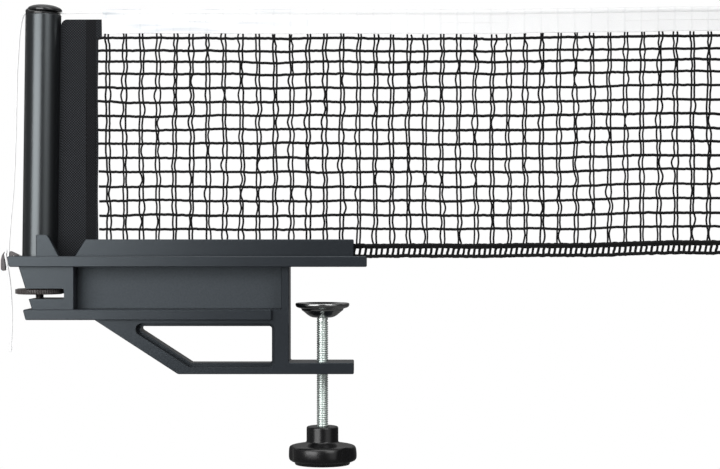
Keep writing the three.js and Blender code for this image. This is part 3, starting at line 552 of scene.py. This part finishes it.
# One strand starts at each vertex of the base. Two and two keep an uneven distance and wander together,
# each wobbles by itself, and a slow warp bends all of them alike. The odd factors on strand, pair and cell
# take each of them to a place of its own in the noise.
def strandGroup():
    tree, graph, take = newGroup("strands", {
        "Geometry": "Geometry", "Reach": "Vector", "Steps": "Int", "Sideways": "Vector", "Forward": "Vector",
        "Spread": "Float", "Wander": "Float", "Change": "Float", "Warp": "Float", "Warp scale": "Float",
        "Wobble": "Float", "Wobble scale": "Float", "Cell": "Float", "Cell start": "Float", "Bow": "Float",
        "Radius": "Float", "Sides": "Int", "Rise": "Float", "Rise from": "Float", "Rise to": "Float",
        "Seed": "Float", "Material": "Material",
    })
    index = graph.wire("GeometryNodeInputIndex")
    marked = graph.wire("GeometryNodeStoreNamedAttribute", {"data_type": "FLOAT", "domain": "POINT"}, {
        "Geometry": take["Geometry"], "Name": "strand", "Value": index,
    })
    line = graph.wire("GeometryNodeCurvePrimitiveLine", None, {"Start": (0, 0, 0), "End": take["Reach"]})
    line = graph.wire("GeometryNodeResampleCurve", None, {"Curve": line, "Count": take["Steps"]})
    spread = graph.wire("GeometryNodeInstanceOnPoints", None, {"Points": marked, "Instance": line})
    real = graph.wire("GeometryNodeRealizeInstances", None, {"Geometry": spread})
    strand = graph.wire("GeometryNodeInputNamedAttribute", {"data_type": "FLOAT"}, {"Name": "strand"})
    side = 1 - 2 * graph.maths("FLOORED_MODULO", strand, 2)
    pair = graph.maths("FLOOR", strand / 2)
    along = graph.wire("GeometryNodeSplineParameter", output=1)
    x, y, z = graph.split(graph.wire("GeometryNodeInputPosition"))
    seed = take["Seed"]

    def noiseAt(x, y, z, scale, output):
        at = graph.wire("ShaderNodeCombineXYZ", None, {0: x, 1: y, 2: z})
        sockets = {"Vector": at, "Scale": scale, "Detail": 1.5}
        return graph.wire("ShaderNodeTexNoise", None, sockets, output)

    def scaled(way, amount):
        made = graph.vector("SCALE", way)
        graph.put(made.socket.node.inputs["Scale"], amount)
        return made

    def drift(x, y, z):
        return noiseAt(x, y, z, 1.0, 0) - 0.5

    def shaken(x, y, z, scale, amount):
        way = graph.vector("SUBTRACT", noiseAt(x, y, z, scale, 1), (0.5, 0.5, 0.5))
        return scaled(way, amount)

    phase = (along - take["Cell start"]) / take["Cell"]
    cell = graph.maths("FLOOR", phase)
    arch = graph.maths("ABSOLUTE", graph.maths("SINE", phase * math.pi))
    width = drift(pair * 3.7 + seed, cell * 1.37, 0.3)
    bow = drift(cell * 2.31 + 0.4, seed, 0.7) + drift(pair * 1.13 + 0.2, cell * 1.71, 0.6)
    slow = drift(pair * 1.9 + seed, 5.0, along * take["Change"])
    apart = take["Spread"] * side * (1 + width * arch * 4)
    across = scaled(take["Sideways"], apart + take["Bow"] * bow * arch + take["Wander"] * slow)
    deep = scaled(take["Forward"], take["Spread"] * side * 0.3)
    wobble = shaken(x + strand * 0.37, y + seed, z, take["Wobble scale"], take["Wobble"])
    warp = shaken(x, 0.0, z, take["Warp scale"], take["Warp"])
    rise = graph.ranged(x, take["Rise from"], take["Rise to"], 0.0, take["Rise"])
    offset = graph.wire("ShaderNodeCombineXYZ", None, {2: rise})
    for part in (across, deep, wobble, warp):
        offset = graph.vector("ADD", offset, part)
    bent = graph.wire("GeometryNodeSetPosition", None, {"Geometry": real, "Offset": offset})
    finishGroup(graph, bent, take["Sides"], take["Radius"], take["Material"], True)
    return tree


# A screw's thread: a spiral with a ridge as its section.
def threadGroup():
    tree, graph, take = newGroup("screw thread", {
        "Geometry": "Geometry", "Radius": "Float", "Pitch": "Float", "Turns": "Float", "Ridge": "Float",
        "Start": "Vector", "Material": "Material",
    })
    spiral = graph.wire("GeometryNodeCurveSpiral", None, {
        "Resolution": 32, "Rotations": take["Turns"], "Start Radius": take["Radius"],
        "End Radius": take["Radius"], "Height": take["Turns"] * take["Pitch"],
    })
    moved = graph.wire("GeometryNodeTransform", None, {"Geometry": spiral, "Translation": take["Start"]})
    finishGroup(graph, moved, 6, take["Ridge"], take["Material"], False)
    return tree


strands, screwThread = strandGroup(), threadGroup()


# a mesh of loose points with a group of nodes on it, made plain
def grown(name, group, points, values):
    mesh = bpy.data.meshes.new(name)
    mesh.from_pydata((np.array(points, float) * mm).tolist(), [], [])
    made = addObject(name, mesh)
    modifier = made.modifiers.new("grown", "NODES")
    modifier.node_group = group
    for item in group.interface.items_tree:
        if item.item_type == "SOCKET" and item.in_out == "INPUT" and item.name in values:
            modifier[item.identifier] = values[item.name]
    settle(made)
    if group == screwThread:
        tidy(made.data, sharp=70)
    return made


# several pieces in one mesh, with the first one's materials
def merged(name, parts):
    work = bmesh.new()
    for part in parts:
        work.from_mesh(part.data)
    mesh = bpy.data.meshes.new(name)
    work.to_mesh(mesh)
    work.free()
    for used in parts[0].data.materials:
        mesh.materials.append(used)
    for part in parts:
        bpy.data.objects.remove(part)
    return addObject(name, mesh)


bracket = softened("bracket", "bracket_look", bevel=0.22, sharp=28)
dress(bracket, looks["moulding"], "bracket_body", ["bracket"])
hook = softened("cord_hook", "cord_hook_look", bevel=0.3, sharp=35)
dress(hook, looks["hook"], "bracket_body", ["cord_hook"])
print("bracket", len(bracket.data.polygons), "faces")

# these nodes keep their CAD shape
kept = {
    "jaw_nut": "zinc", "height_nut": "zinc", "swivel_washer": "zinc", "knob_insert": "brass",
    "post_foot": "cap", "net_rod": "drawn", "far_rod": "drawn",
}
for node, look in kept.items():
    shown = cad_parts[node]
    shown.data.materials.clear()
    shown.data.materials.append(looks[look])

# the clamp screw: a core with a spiral ridge, and a neck with a rivet head that holds the dish
screwValues = {
    "radius": 3.175, "root": 2.75, "pitch": 1.27, "ridge": 0.55, "ridgeOut": 0.2, "top": -29.8,
    "bottom": -105.8, "threadTop": -31.6, "threadLift": 1, "collar": -31, "neck": 2, "rivet": -26.5,
    "rivetHigh": 1.25, "rivetWide": 3.2,
}


def screwCore():
    v = screwValues
    profile = [
        (0, v["bottom"]), (v["root"] - 0.3, v["bottom"]), (v["root"], v["bottom"] + 0.5),
        (v["root"], v["collar"]), (v["radius"], v["collar"] + 0.1), (v["radius"], v["top"]),
        (v["neck"], v["top"]), (v["neck"], v["rivet"]), (v["rivetWide"], v["rivet"]),
        (v["rivetWide"] - 0.5, v["rivet"] + 0.9), (v["rivetWide"] / 2, v["rivet"] + 1.2),
        (0, v["rivet"] + v["rivetHigh"]),
    ]
    return turned("screw_core", profile, steps=48)


def screwRidge():
    v = screwValues
    start = v["bottom"] + v["threadLift"]
    return grown("screw_ridge", screwThread, [(0, 0, 0)], {
        "Radius": (v["radius"] - v["ridge"] + v["ridgeOut"]) * mm, "Pitch": v["pitch"] * mm,
        "Turns": (v["threadTop"] - start) / v["pitch"], "Ridge": v["ridge"] * mm,
        "Start": (0, 0, start * mm), "Material": looks["zinc"],
    })


clampScrew = merged("clamp_screw_look", [dress(screwCore(), looks["zinc"], None), screwRidge()])
dress(clampScrew, looks["zinc"], "screw_and_knob", ["clamp_screw"])

# the dish: from its hole out under the bowl to the rolled rim, and back down inside
dishProfile = [
    (2.6, -29.5), (5, -29.5), (5.8, -29.4), (7.2, -28.9), (8.6, -28), (9.8, -27), (10.8, -26.1),
    (11.7, -25.5), (11.95, -25.3), (12.05, -25), (12.1, -24.7), (12.3, -24.4), (12.8, -24.2), (14.2, -23.8),
    (15, -23.4), (15.4, -22.9), (15.6, -22.2), (15.6, -21.7), (15.4, -21.3), (15, -21.1), (14.2, -21.1),
    (13.9, -21.5), (12.6, -22.4), (10.8, -23.3), (9.7, -24.1), (9.2, -25.3), (8.2, -26.6), (6.8, -27.6),
    (5.6, -28.1), (2.6, -28.1), (2.6, -29.5),
]
dish = turned("pressure_dish_look", dishProfile, steps=128, sharp=50)
dress(dish, looks["dish"], "dish", ["pressure_dish"])

# the knob: a hub above a grip with wide lobes; lengths in millimetres, lobeTurn in degrees
knobValues = {
    "top": -92.3, "gripTop": -101.2, "gripBottom": -112.4, "bottom": -114.3, "hub": 9.2, "grip": 20,
    "lobes": 3, "lobeDepth": 2, "lobeTurn": -13, "sharpness": 5, "lobesFrom": 14, "blend": 0.25,
    "bore": 5.3, "boreEnd": -107.4, "boreTop": -94, "throat": 3.7, "foot": 15.9, "recess": 13, "steps": 180,
}


# a turned profile, bore first, whose outer part is cut back in the hollows between its wide lobes
def knobLook():
    v = knobValues
    profile = [(0, v["boreEnd"]), (v["bore"], v["boreEnd"]), (v["bore"], v["boreTop"])]
    profile += [(v["throat"], v["boreTop"]), (v["throat"], v["top"])]
    hubEdge = [(-1.2, 0), (-0.6, -0.15), (-0.15, -0.5), (0, -1.2)]  # out from the hub, up from its top
    profile += [(v["hub"] + out, v["top"] + up) for out, up in hubEdge]
    hubFoot = [(0, 0.5), (0.1, 0.1), (0.4, -0.25), (1.1, -0.6), (2.2, -0.95), (3.6, -1.3)]
    profile += [(v["hub"] + out, v["gripTop"] + up) for out, up in hubFoot]
    shares = [
        (0.75, 0.86), (0.84, 0.83), (0.9, 0.8), (0.94, 0.76), (0.963, 0.7), (0.978, 0.62), (0.989, 0.5),
        (0.997, 0.38), (1, 0.28), (0.995, 0.19), (0.975, 0.11), (0.945, 0.05), (0.9, 0.01), (0.86, 0),
        (0.8, 0),
    ]  # of the grip's radius, and of its height
    high = v["gripTop"] - v["gripBottom"]
    profile += [(v["grip"] * out, v["gripBottom"] + high * up) for out, up in shares]
    profile += [(v["foot"], v["gripBottom"] - 0.2), (v["foot"], v["bottom"] + 0.4)]
    profile += [(v["foot"] - 0.3, v["bottom"]), (v["recess"] + 0.2, v["bottom"])]
    profile += [(v["recess"], v["bottom"] + 0.3), (v["recess"], v["bottom"] + 1), (0, v["bottom"] + 1)]
    angles = np.linspace(0, fullTurn, v["steps"], endpoint=False)
    phase = v["lobes"] * (angles - math.radians(v["lobeTurn"]) + math.pi / 2)
    limit = v["grip"] - v["lobeDepth"] * ((1 - np.cos(phase)) / 2) ** v["sharpness"]
    rows = []
    for r, z in profile:
        radii = np.full(v["steps"], r)
        if r > v["lobesFrom"]:
            radii = -np.log(np.exp(-r / v["blend"]) + np.exp(-limit / v["blend"])) * v["blend"]
        rows.append(np.stack([radii * np.cos(angles), radii * np.sin(angles), np.full(v["steps"], z)], 1))
    return skin("star_knob_look", rows, sharp=50)


dress(knobLook(), looks["knob"], "screw_and_knob", ["star_knob"])
print("screw, dish and knob")

# the thumbwheel: a disc with fine upright teeth
wheelValues = {
    "x": -163.4, "top": -12.8, "bottom": -16, "bore": 2.7, "disc": 13.45, "radius": 14, "teeth": 60,
    "tooth": 0.5, "toothRadius": 0.45, "toothEnd": 0.35,
}
# values of the strands that most pieces leave alone
strandCommon = {
    "Spread": 0.0, "Wander": 0.0, "Change": 1.0, "Warp": 0.0, "Warp scale": 1.0, "Wobble": 0.0,
    "Wobble scale": 100.0, "Cell": 1.0, "Cell start": 0.0, "Bow": 0.0, "Rise": 0.0, "Rise from": 0.0,
    "Rise to": 1.0, "Seed": 3.0, "Sideways": (1, 0, 0), "Forward": (0, 1, 0), "Sides": 8,
}


def wheelDisc():
    v = wheelValues
    half = [(v["bore"], 0), (v["disc"] - 0.85, 0), (v["disc"] - 0.25, 0.3), (v["disc"], 0.7)]
    profile = [(r, v["bottom"] + up) for r, up in half] + [(r, v["top"] - up) for r, up in half[::-1]]
    return turned("wheel_disc", profile + profile[:1], steps=120, x=v["x"])


def wheelTeeth():
    v = wheelValues
    reach = v["radius"] - v["tooth"]
    points = []
    for k in range(v["teeth"]):
        turn = fullTurn * k / v["teeth"]
        points.append((v["x"] + reach * math.cos(turn), reach * math.sin(turn), v["bottom"] + v["toothEnd"]))
    return grown("wheel_teeth", strands, points, {
        **strandCommon, "Reach": (0, 0, (v["top"] - v["bottom"] - 2 * v["toothEnd"]) * mm), "Steps": 2,
        "Radius": v["toothRadius"] * mm, "Material": looks["wheel"],
    })


wheel = merged("thumbwheel_look", [dress(wheelDisc(), looks["wheel"], None), wheelTeeth()])
dress(wheel, looks["wheel"], "height_wheel", ["thumbwheel"])

# the thumbwheel's threaded stem
stemValues = {
    "radius": 2.1, "top": -7.8, "bottom": -29.5, "pitch": 0.8, "turns": 25.0, "ridge": 0.3,
    "ridgeRadius": 2.08, "threadStart": -29,
}


def stemCore():
    v = stemValues
    profile = [(0, v["bottom"]), (v["radius"] - 0.3, v["bottom"]), (v["radius"], v["bottom"] + 0.4)]
    profile += [(v["radius"], v["top"] - 0.5), (v["radius"] - 0.3, v["top"]), (0, v["top"])]
    return turned("stem_core", profile, steps=40, x=wheelValues["x"])


def stemRidge():
    v = stemValues
    return grown("stem_ridge", screwThread, [(0, 0, 0)], {
        "Radius": v["ridgeRadius"] * mm, "Pitch": v["pitch"] * mm, "Turns": v["turns"],
        "Ridge": v["ridge"] * mm, "Start": (wheelValues["x"] * mm, 0, v["threadStart"] * mm),
        "Material": looks["blackSteel"],
    })


stem = merged("height_screw_look", [dress(stemCore(), looks["blackSteel"], None), stemRidge()])
dress(stem, looks["blackSteel"], "height_wheel", ["height_screw"])
print("thumbwheel")

# the post leans a little; its tube is slit over its whole length for the sleeve
postValues = {
    "x": -163.4, "foot": -12.5, "lean": 0.77, "radius": 10.25, "wall": 1.2, "top": 145.1, "start": 4.9,
    "slit": 1.8, "steps": 120,
}


def leaned(obj):
    pivot = Vector((postValues["x"], 0, postValues["foot"])) * mm
    turn = Matrix.Rotation(math.radians(postValues["lean"]), 4, "Y")
    obj.data.transform(Matrix.Translation(pivot) @ turn @ Matrix.Translation(-pivot))
    return obj


def postTube():
    v = postValues
    half = math.asin(v["slit"] / 2 / v["radius"])
    inner = v["radius"] - v["wall"]
    angles = np.linspace(half, fullTurn - half, v["steps"])
    ring = [(v["radius"] * math.cos(a), v["radius"] * math.sin(a)) for a in angles]
    ring += [(inner * math.cos(a), inner * math.sin(a)) for a in angles[::-1]]
    heights = (v["start"], v["start"] + 0.3, v["top"] - 0.3, v["top"])
    rows = [[(v["x"] + a, b, z) for a, b in ring] for z in heights]
    return leaned(closed(skin("post_tube_look", rows, sharp=30)))


dress(postTube(), looks["paint"], "post", ["post_tube"])

# The CAD collar's lower and upper edges move down. The upper one bends up to both sides and stands highest
# by the cord. base is the lower edge's height, and near how far its points may lie from it.
collarValues = {
    "base": 145.9, "near": 0.3, "middle": 2.1, "baseLowered": 0.6, "rimLowered": 0.5, "rimBend": 0.003,
    "lug": 0.9, "lugAt": -8.7, "lugHalf": 1.9,
}


def capLook():
    v = collarValues
    made = softened("post_cap", "post_cap_look", sharp=35)
    for vertex in made.data.vertices:
        above = vertex.co.z / mm - v["base"]
        if above > v["near"]:
            aside = vertex.co.x / mm - postValues["x"] - v["middle"]
            lug = v["lug"] * max(0, 1 - ((aside - v["lugAt"]) / v["lugHalf"]) ** 2)
            vertex.co.z -= (v["rimLowered"] - aside * aside * v["rimBend"] - lug) * mm
        elif above > -v["near"]:
            vertex.co.z -= v["baseLowered"] * mm
    return made


dress(capLook(), looks["cap"], "post", ["post_cap"])

# the button: a slanted dome on a short peg
buttonValues = {
    "radius": 9.85, "height": 3.9, "edge": 0.9, "shift": 0.8, "slant": 2.4, "base": 147.35, "peg": 3,
    "pegLength": 0.4, "domeSteps": 16,
}


def buttonLook():
    v = buttonValues
    profile = [(0, -v["pegLength"]), (v["peg"], -v["pegLength"]), (v["peg"], 0), (v["radius"] - 0.5, 0)]
    profile += [(v["radius"] - 0.1, 0.2)]
    for k in range(v["domeSteps"]):
        turn = math.pi / 2 * k / v["domeSteps"]
        profile.append((v["radius"] * math.cos(turn), v["edge"] + (v["height"] - v["edge"]) * math.sin(turn)))
    made = turned("cap_button_look", profile + [(0, v["height"])], sharp=50)
    slant = Matrix.Rotation(math.radians(v["slant"]), 4, "Y")
    made.data.transform(slant @ Matrix.Translation(Vector((v["shift"], 0, 0)) * mm))
    made.data.transform(Matrix.Translation(Vector((postValues["x"], 0, v["base"])) * mm))
    return leaned(made)


dress(buttonLook(), looks["cap"], "post", ["cap_button"])
print("post")

# the net: pairs of upright threads and single rows, which rise a little towards the far end
netValues = {
    "left": -129.6, "right": 232, "rise": 1.7, "riseFrom": 90, "tapeLow": 134.6, "tapeTop": 148.7,
    "tapeLeft": -126.8, "hemLow": 5.2, "hemTop": 12.4, "cell": 8.18, "columnTop": 134.3, "columnStart": -124,
    "columnPitch": 9.65, "columns": 37,
    "rows": [131.7, 124.4, 118.1, 111.2, 103.3, 95.1, 87, 78.8, 70.8, 62.4, 54.5, 46, 37.8, 29.4, 21.5],
}


# the tape's rise along the net, which the strands take from their own inputs
def riseAt(x):
    s = min(max((x - netValues["riseFrom"]) / (netValues["right"] - netValues["riseFrom"]), 0), 1)
    return netValues["rise"] * s * s * (3 - 2 * s)


netCommon = {
    **strandCommon, "Rise": netValues["rise"] * mm, "Rise from": netValues["riseFrom"] * mm,
    "Rise to": netValues["right"] * mm, "Material": looks["thread"], "Sides": 6, "Warp": 2.4 * mm,
    "Warp scale": 21.0,
}
columnPoints = []
for k in range(netValues["columns"]):
    at = netValues["columnStart"] + netValues["columnPitch"] * k
    columnPoints += [(at, 0, netValues["hemTop"]), (at, 0, netValues["hemTop"])]
columns = grown("net_columns", strands, columnPoints, {
    **netCommon, "Reach": (0, 0, (netValues["columnTop"] - netValues["hemTop"]) * mm), "Steps": 180,
    "Spread": 0.92 * mm, "Cell": netValues["cell"] * mm,
    "Cell start": (netValues["rows"][-1] - netValues["hemTop"]) * mm, "Bow": 3.4 * mm,
    "Wander": 1.6 * mm, "Change": 60.0, "Wobble": 0.5 * mm, "Wobble scale": 300.0, "Radius": 0.56 * mm,
})
lengthwise = {"Reach": ((netValues["right"] - netValues["left"]) * mm, 0, 0), "Sideways": (0, 0, 1)}
rows = grown("net_rows", strands, [(netValues["left"], 0, z) for z in netValues["rows"]], {
    **netCommon, **lengthwise, "Steps": 640, "Wander": 1.3 * mm, "Change": 45.0, "Wobble": 0.9 * mm,
    "Wobble scale": 380.0, "Radius": 0.86 * mm, "Seed": 8.0,
})
net = merged("net_mesh_look", [columns, rows])
dress(net, looks["thread"], "post", ["net_mesh"])

# the hem: two cords at its top and one below, with slanting rungs between them
hemValues = {
    "apart": 0.3, "belowTop": (0.5, 0.8), "aboveLow": 0.6, "rungs": 115, "rungStart": 1.2, "rungPitch": 3.12,
    "rungFoot": 0.4, "rungLean": 1.1, "rungHigh": 6.4,
}
hemLines = [
    (netValues["left"], -hemValues["apart"], netValues["hemTop"] - hemValues["belowTop"][0]),
    (netValues["left"], hemValues["apart"], netValues["hemTop"] - hemValues["belowTop"][1]),
    (netValues["left"], 0, netValues["hemLow"] + hemValues["aboveLow"]),
]
hemCords = grown("hem_cords", strands, hemLines, {
    **netCommon, **lengthwise, "Steps": 560, "Spread": 0.3 * mm, "Wander": 0.6 * mm, "Change": 240.0,
    "Wobble": 1.1 * mm, "Wobble scale": 420.0, "Radius": 1.05 * mm,
})
rungPoints = []
for k in range(hemValues["rungs"]):
    at = netValues["left"] + hemValues["rungStart"] + hemValues["rungPitch"] * k
    rungPoints.append((at, 0, netValues["hemLow"] + hemValues["rungFoot"]))
rungs = grown("hem_rungs", strands, rungPoints, {
    **netCommon, "Reach": (hemValues["rungLean"] * mm, 0, hemValues["rungHigh"] * mm), "Steps": 9,
    "Wobble": 1.1 * mm, "Wobble scale": 300.0, "Radius": 0.78 * mm, "Seed": 5.0,
})
hem = merged("net_hem_look", [hemCords, rungs])
dress(hem, looks["thread"], "post", ["net_hem"])
print("net", len(net.data.polygons) + len(hem.data.polygons), "faces")

# the tape: folded round the cord at the net's top; each wave is its height, its length and its start
tapeValues = {
    "roll": 1.7, "half": 0.55, "thickness": 0.5, "right": 229.7, "stations": 220, "arcSteps": 19,
    "faceSteps": 9, "faceEnd": 0.4, "faceWaves": [(0.22, 13.1, 0), (0.15, 5.3, 1)],
    "edgeWaves": [(0.2, 17, 0), (0.12, 6.1, 0)],
}


def waves(at, parts):
    return sum(height * math.sin(at / length + start) for height, length, start in parts)


def tapeSection():
    v = tapeValues
    centre = netValues["tapeTop"] - v["roll"]
    radius = v["roll"] - v["thickness"] / 2
    start = math.asin(v["half"] / radius)
    turns = np.linspace(start, fullTurn - start, v["arcSteps"])
    arc = [(-radius * math.sin(t), centre - radius * math.cos(t)) for t in turns]
    heights = np.linspace(netValues["tapeLow"], arc[0][1] - v["faceEnd"], v["faceSteps"])
    front = [(-v["half"], z) for z in heights]
    return front + arc + [(-y, z) for y, z in front[::-1]]


# how far down the tape a height lies, from 0 at its top to 1 at its lower edge
def downTape(z):
    return (netValues["tapeTop"] - z) / (netValues["tapeTop"] - netValues["tapeLow"])


def tapeAt(share, y, z):
    v = tapeValues
    x = netValues["tapeLeft"] + share * (v["right"] - netValues["tapeLeft"])
    down = downTape(z)
    return (x, y + waves(x, v["faceWaves"]) * down, z + riseAt(x) + waves(x, v["edgeWaves"]) * down)


tape = strip("net_top_tape_look", tapeSection(), tapeValues["thickness"], tapeAt, tapeValues["stations"])
dress(tape, looks["tape"], "post", ["net_top_tape"])

# a row of stitches on both faces of the tape
stitchValues = {
    "height": 141.3, "count": 116, "start": 1.5, "pitch": 3.06, "length": 2.3, "radius": 0.17, "proud": 0.02,
}
stitchPoints = []
for k in range(stitchValues["count"]):
    at = netValues["tapeLeft"] + stitchValues["start"] + stitchValues["pitch"] * k
    for face in (-1, 1):
        y = face * (tapeValues["half"] + tapeValues["thickness"] / 2 + stitchValues["proud"])
        y += waves(at, tapeValues["faceWaves"]) * downTape(stitchValues["height"])
        stitchPoints.append((at, y, stitchValues["height"]))
stitches = grown("tape_stitches", strands, stitchPoints, {
    **netCommon, "Reach": (stitchValues["length"] * mm, 0, 0), "Steps": 5,
    "Radius": stitchValues["radius"] * mm, "Material": looks["stitch"], "Wobble": 0.15 * mm,
    "Wobble scale": 200.0,
})
dress(stitches, looks["stitch"], "post")
print("tape")

# the sleeves: cloth folded round a rod, with a rounded shoulder by the rod and a tab at the free edge's top
sleeveValues = {
    "rodShift": 5, "loop": 3.25, "half": 0.33, "thickness": 0.5, "low": 5, "top": 142.6, "inner": 139.6,
    "edge": -129.7, "shoulder": 4, "corner": 3.6, "tab": 2.1, "tabLow": 131, "tabRamp": 1.6, "farGap": 0.3,
    "farReach": 17.9, "stations": 160, "arcSteps": 25, "faceSteps": 60, "edgeWaves": [(0.15, 9, 0)],
    "faceWave": (0.18, 21), "waveSlant": 9,
}


# side is 1 for the sleeve at the post, whose free edge looks towards +X, and -1 for the far one.
def sleeve(name, rodX, edge, side, lean, rise):
    v = sleeveValues
    start = math.asin(v["half"] / v["loop"])
    arc = [
        (rodX + side * v["loop"] * math.cos(t), -v["loop"] * math.sin(t))
        for t in np.linspace(start, fullTurn - start, v["arcSteps"])
    ]
    reach = np.linspace(0, 1, v["faceSteps"])[:-1]
    front = [(edge + (arc[0][0] - edge) * s, -v["half"]) for s in reach]
    section = front + arc + [(x, -y) for x, y in front[::-1]]
    shoulder = rodX + side * v["shoulder"] + lean * v["top"]
    whole = side * (edge - rodX)

    def at(share, x, y):
        top = v["inner"]
        free = side * (x - shoulder)
        if free > 0:
            s = min(free / v["corner"], 1)
            top += (v["top"] - v["inner"]) * math.sqrt(1 - (1 - s) ** 2)
        z = v["low"] + share * (top - v["low"])
        out = min(max(side * (x - rodX) / whole, 0), 1)  # 0 at the rod, 1 at the free edge
        shift = lean * (z - v["low"]) * (1 - out)
        tab = side * v["tab"] * out ** 3 * min(max((z - v["tabLow"]) / v["tabRamp"], 0), 1)
        edgeWave = side * waves(z, v["edgeWaves"]) * out
        faceWave = waves(z, [(*v["faceWave"], x / v["waveSlant"])]) * out
        return (x + shift + tab + edgeWave, y + faceWave, z + rise)

    return strip(name, section, v["thickness"], at, v["stations"])


postSlope = math.tan(math.radians(postValues["lean"]))
nearRod = postValues["x"] + sleeveValues["rodShift"] + postSlope * (sleeveValues["low"] - postValues["foot"])
farEdge = netValues["right"] + sleeveValues["farGap"]
farRod = farEdge + sleeveValues["farReach"]
nearSleeve = sleeve("net_sleeve_look", nearRod, sleeveValues["edge"], 1, postSlope, 0)
dress(nearSleeve, looks["sleeve"], "post", ["net_sleeve"])
farSleeve = sleeve("far_sleeve_look", farRod, farEdge, -1, 0, netValues["rise"])
dress(farSleeve, looks["farSleeve"], "post", ["far_sleeve"])

# two rows of stitches on both faces of the sleeve at the post
seamValues = {
    "at": (-136.4, -130.9), "proud": 0.62, "count": 42, "start": 1.5, "pitch": 3.25, "length": 2.5,
    "radius": 0.16,
}
seamPoints = []
for x in seamValues["at"]:
    for k in range(seamValues["count"]):
        z = sleeveValues["low"] + seamValues["start"] + seamValues["pitch"] * k
        seamPoints += [(x, -seamValues["proud"], z), (x, seamValues["proud"], z)]
seams = grown("sleeve_seams", strands, seamPoints, {
    **strandCommon, "Reach": (0, 0, seamValues["length"] * mm), "Steps": 4,
    "Radius": seamValues["radius"] * mm, "Material": looks["blackStitch"],
})
dress(seams, looks["blackStitch"], "post")
print("sleeves")

# Three lamps, a white world for the camera, and a dark room with upright bright panels for reflections.
# Each panel is the azimuth of its middle, half its width and its soft edge, in degrees, and its strength.
# panelFoot, aboveFrom and worldFrom are heights of the direction that is looked in, from -1 to 1. The floor
# fades out between two distances, and unmirrored is the share of it that reflections leave out.
stage = {
    "floor": -250, "radius": 900, "floorSteps": 96, "fade": (450, 882), "unmirrored": 0.9,
    "world": (0.15, 0.42), "dark": 0.1,
    "key": {"azimuth": -37.6, "height": 105, "distance": 633, "size": (480, 350), "power": 2.85},
    "front": {"azimuth": 30, "height": 750, "distance": 1300, "size": (700, 900), "power": 6.5},
    "top": {"azimuth": -10, "height": 1500, "distance": 500, "size": (1200, 900), "power": 8},
    "aim": (0, 0, 30),
    "panels": [(-31, 20, 8, 0.5), (-95, 35, 20, 0.12), (43, 18, 9, 0.85), (180, 26, 12, 0.1)],
    "panelFoot": (-0.3, 0.0), "above": 0.6, "aboveFrom": (0.25, 0.7), "worldFrom": (-0.4, 0.1),
}


def softbox(name, azimuth, height, distance, size, power):
    data = bpy.data.lights.new(name, "AREA")
    data.shape = "RECTANGLE"
    data.size, data.size_y = size[0] * mm, size[1] * mm
    data.energy = power
    lamp = bpy.data.objects.new(name, data)
    turn = math.radians(azimuth)
    spot = Vector((math.sin(turn) * distance, -math.cos(turn) * distance, height)) * mm
    lamp.location = spot
    lamp.rotation_euler = (Vector(stage["aim"]) * mm - spot).to_track_quat("-Z", "Y").to_euler()
    scene.collection.objects.link(lamp)


for name in ("key", "front", "top"):
    softbox(name, **stage[name])


def studioWorld():
    world = bpy.data.worlds.new("studio")
    world.use_nodes = True
    graph = Graph(world.node_tree)
    path = graph.node("ShaderNodeLightPath")
    x, y, z = graph.split(graph.coordinates("Generated"))
    azimuth = graph.maths("ARCTAN2", x, 0 - y)
    level = 0
    for panel in stage["panels"]:
        middle, half, edge = [math.radians(angle) for angle in panel[:3]]
        apart = graph.maths("ABSOLUTE", graph.maths("WRAP", azimuth - middle, math.pi, -math.pi))
        level = level + graph.ranged(apart, half - edge, half + edge, panel[3], 0.0)
    above = graph.ranged(z, *stage["aboveFrom"]) * stage["above"]
    level = level * graph.ranged(z, *stage["panelFoot"]) + above + stage["dark"]
    soft = graph.ranged(z, *stage["worldFrom"], *stage["world"])
    glossy, soft = [graph.wire("ShaderNodeCombineColor", None, {0: a, 1: a, 2: a}) for a in (level, soft)]
    seen = graph.mixed(Wire(graph, path.outputs["Is Glossy Ray"]), soft, glossy)
    seen = graph.mixed(Wire(graph, path.outputs["Is Camera Ray"]), seen, (1, 1, 1))
    graph.put(world.node_tree.nodes["Background"].inputs["Color"], seen)
    return world


# a pale disc that keeps the object's shadow and fades out before its edge
def floorDisc():
    mesh = bpy.data.meshes.new("floor")
    turns = [fullTurn * k / stage["floorSteps"] for k in range(stage["floorSteps"])]
    ring = [(stage["radius"] * math.cos(a), stage["radius"] * math.sin(a), stage["floor"]) for a in turns]
    mesh.from_pydata((np.array(ring) * mm).tolist(), [], [tuple(range(len(ring)))])
    look, graph, shader = material("floor")
    away = graph.vector("LENGTH", graph.coordinates(), output=1)
    fade = graph.ranged(away, *[reach * mm for reach in stage["fade"]], 1.0, 0.0)
    speck = graph.noise(graph.coordinates(), 40)
    path = graph.node("ShaderNodeLightPath")
    graph.put(shader["Base Color"], graph.mixed(speck, (0.93, 0.93, 0.93), (0.95, 0.95, 0.95)))
    graph.put(shader["Alpha"], fade * (1 - Wire(graph, path.outputs["Is Glossy Ray"]) * stage["unmirrored"]))
    shader["Roughness"].default_value = 0.9
    mesh.materials.append(look)
    return addObject("floor", mesh)


scene.world = studioWorld()
floorDisc()
print("stage")

scene.view_settings.view_transform = "Standard"
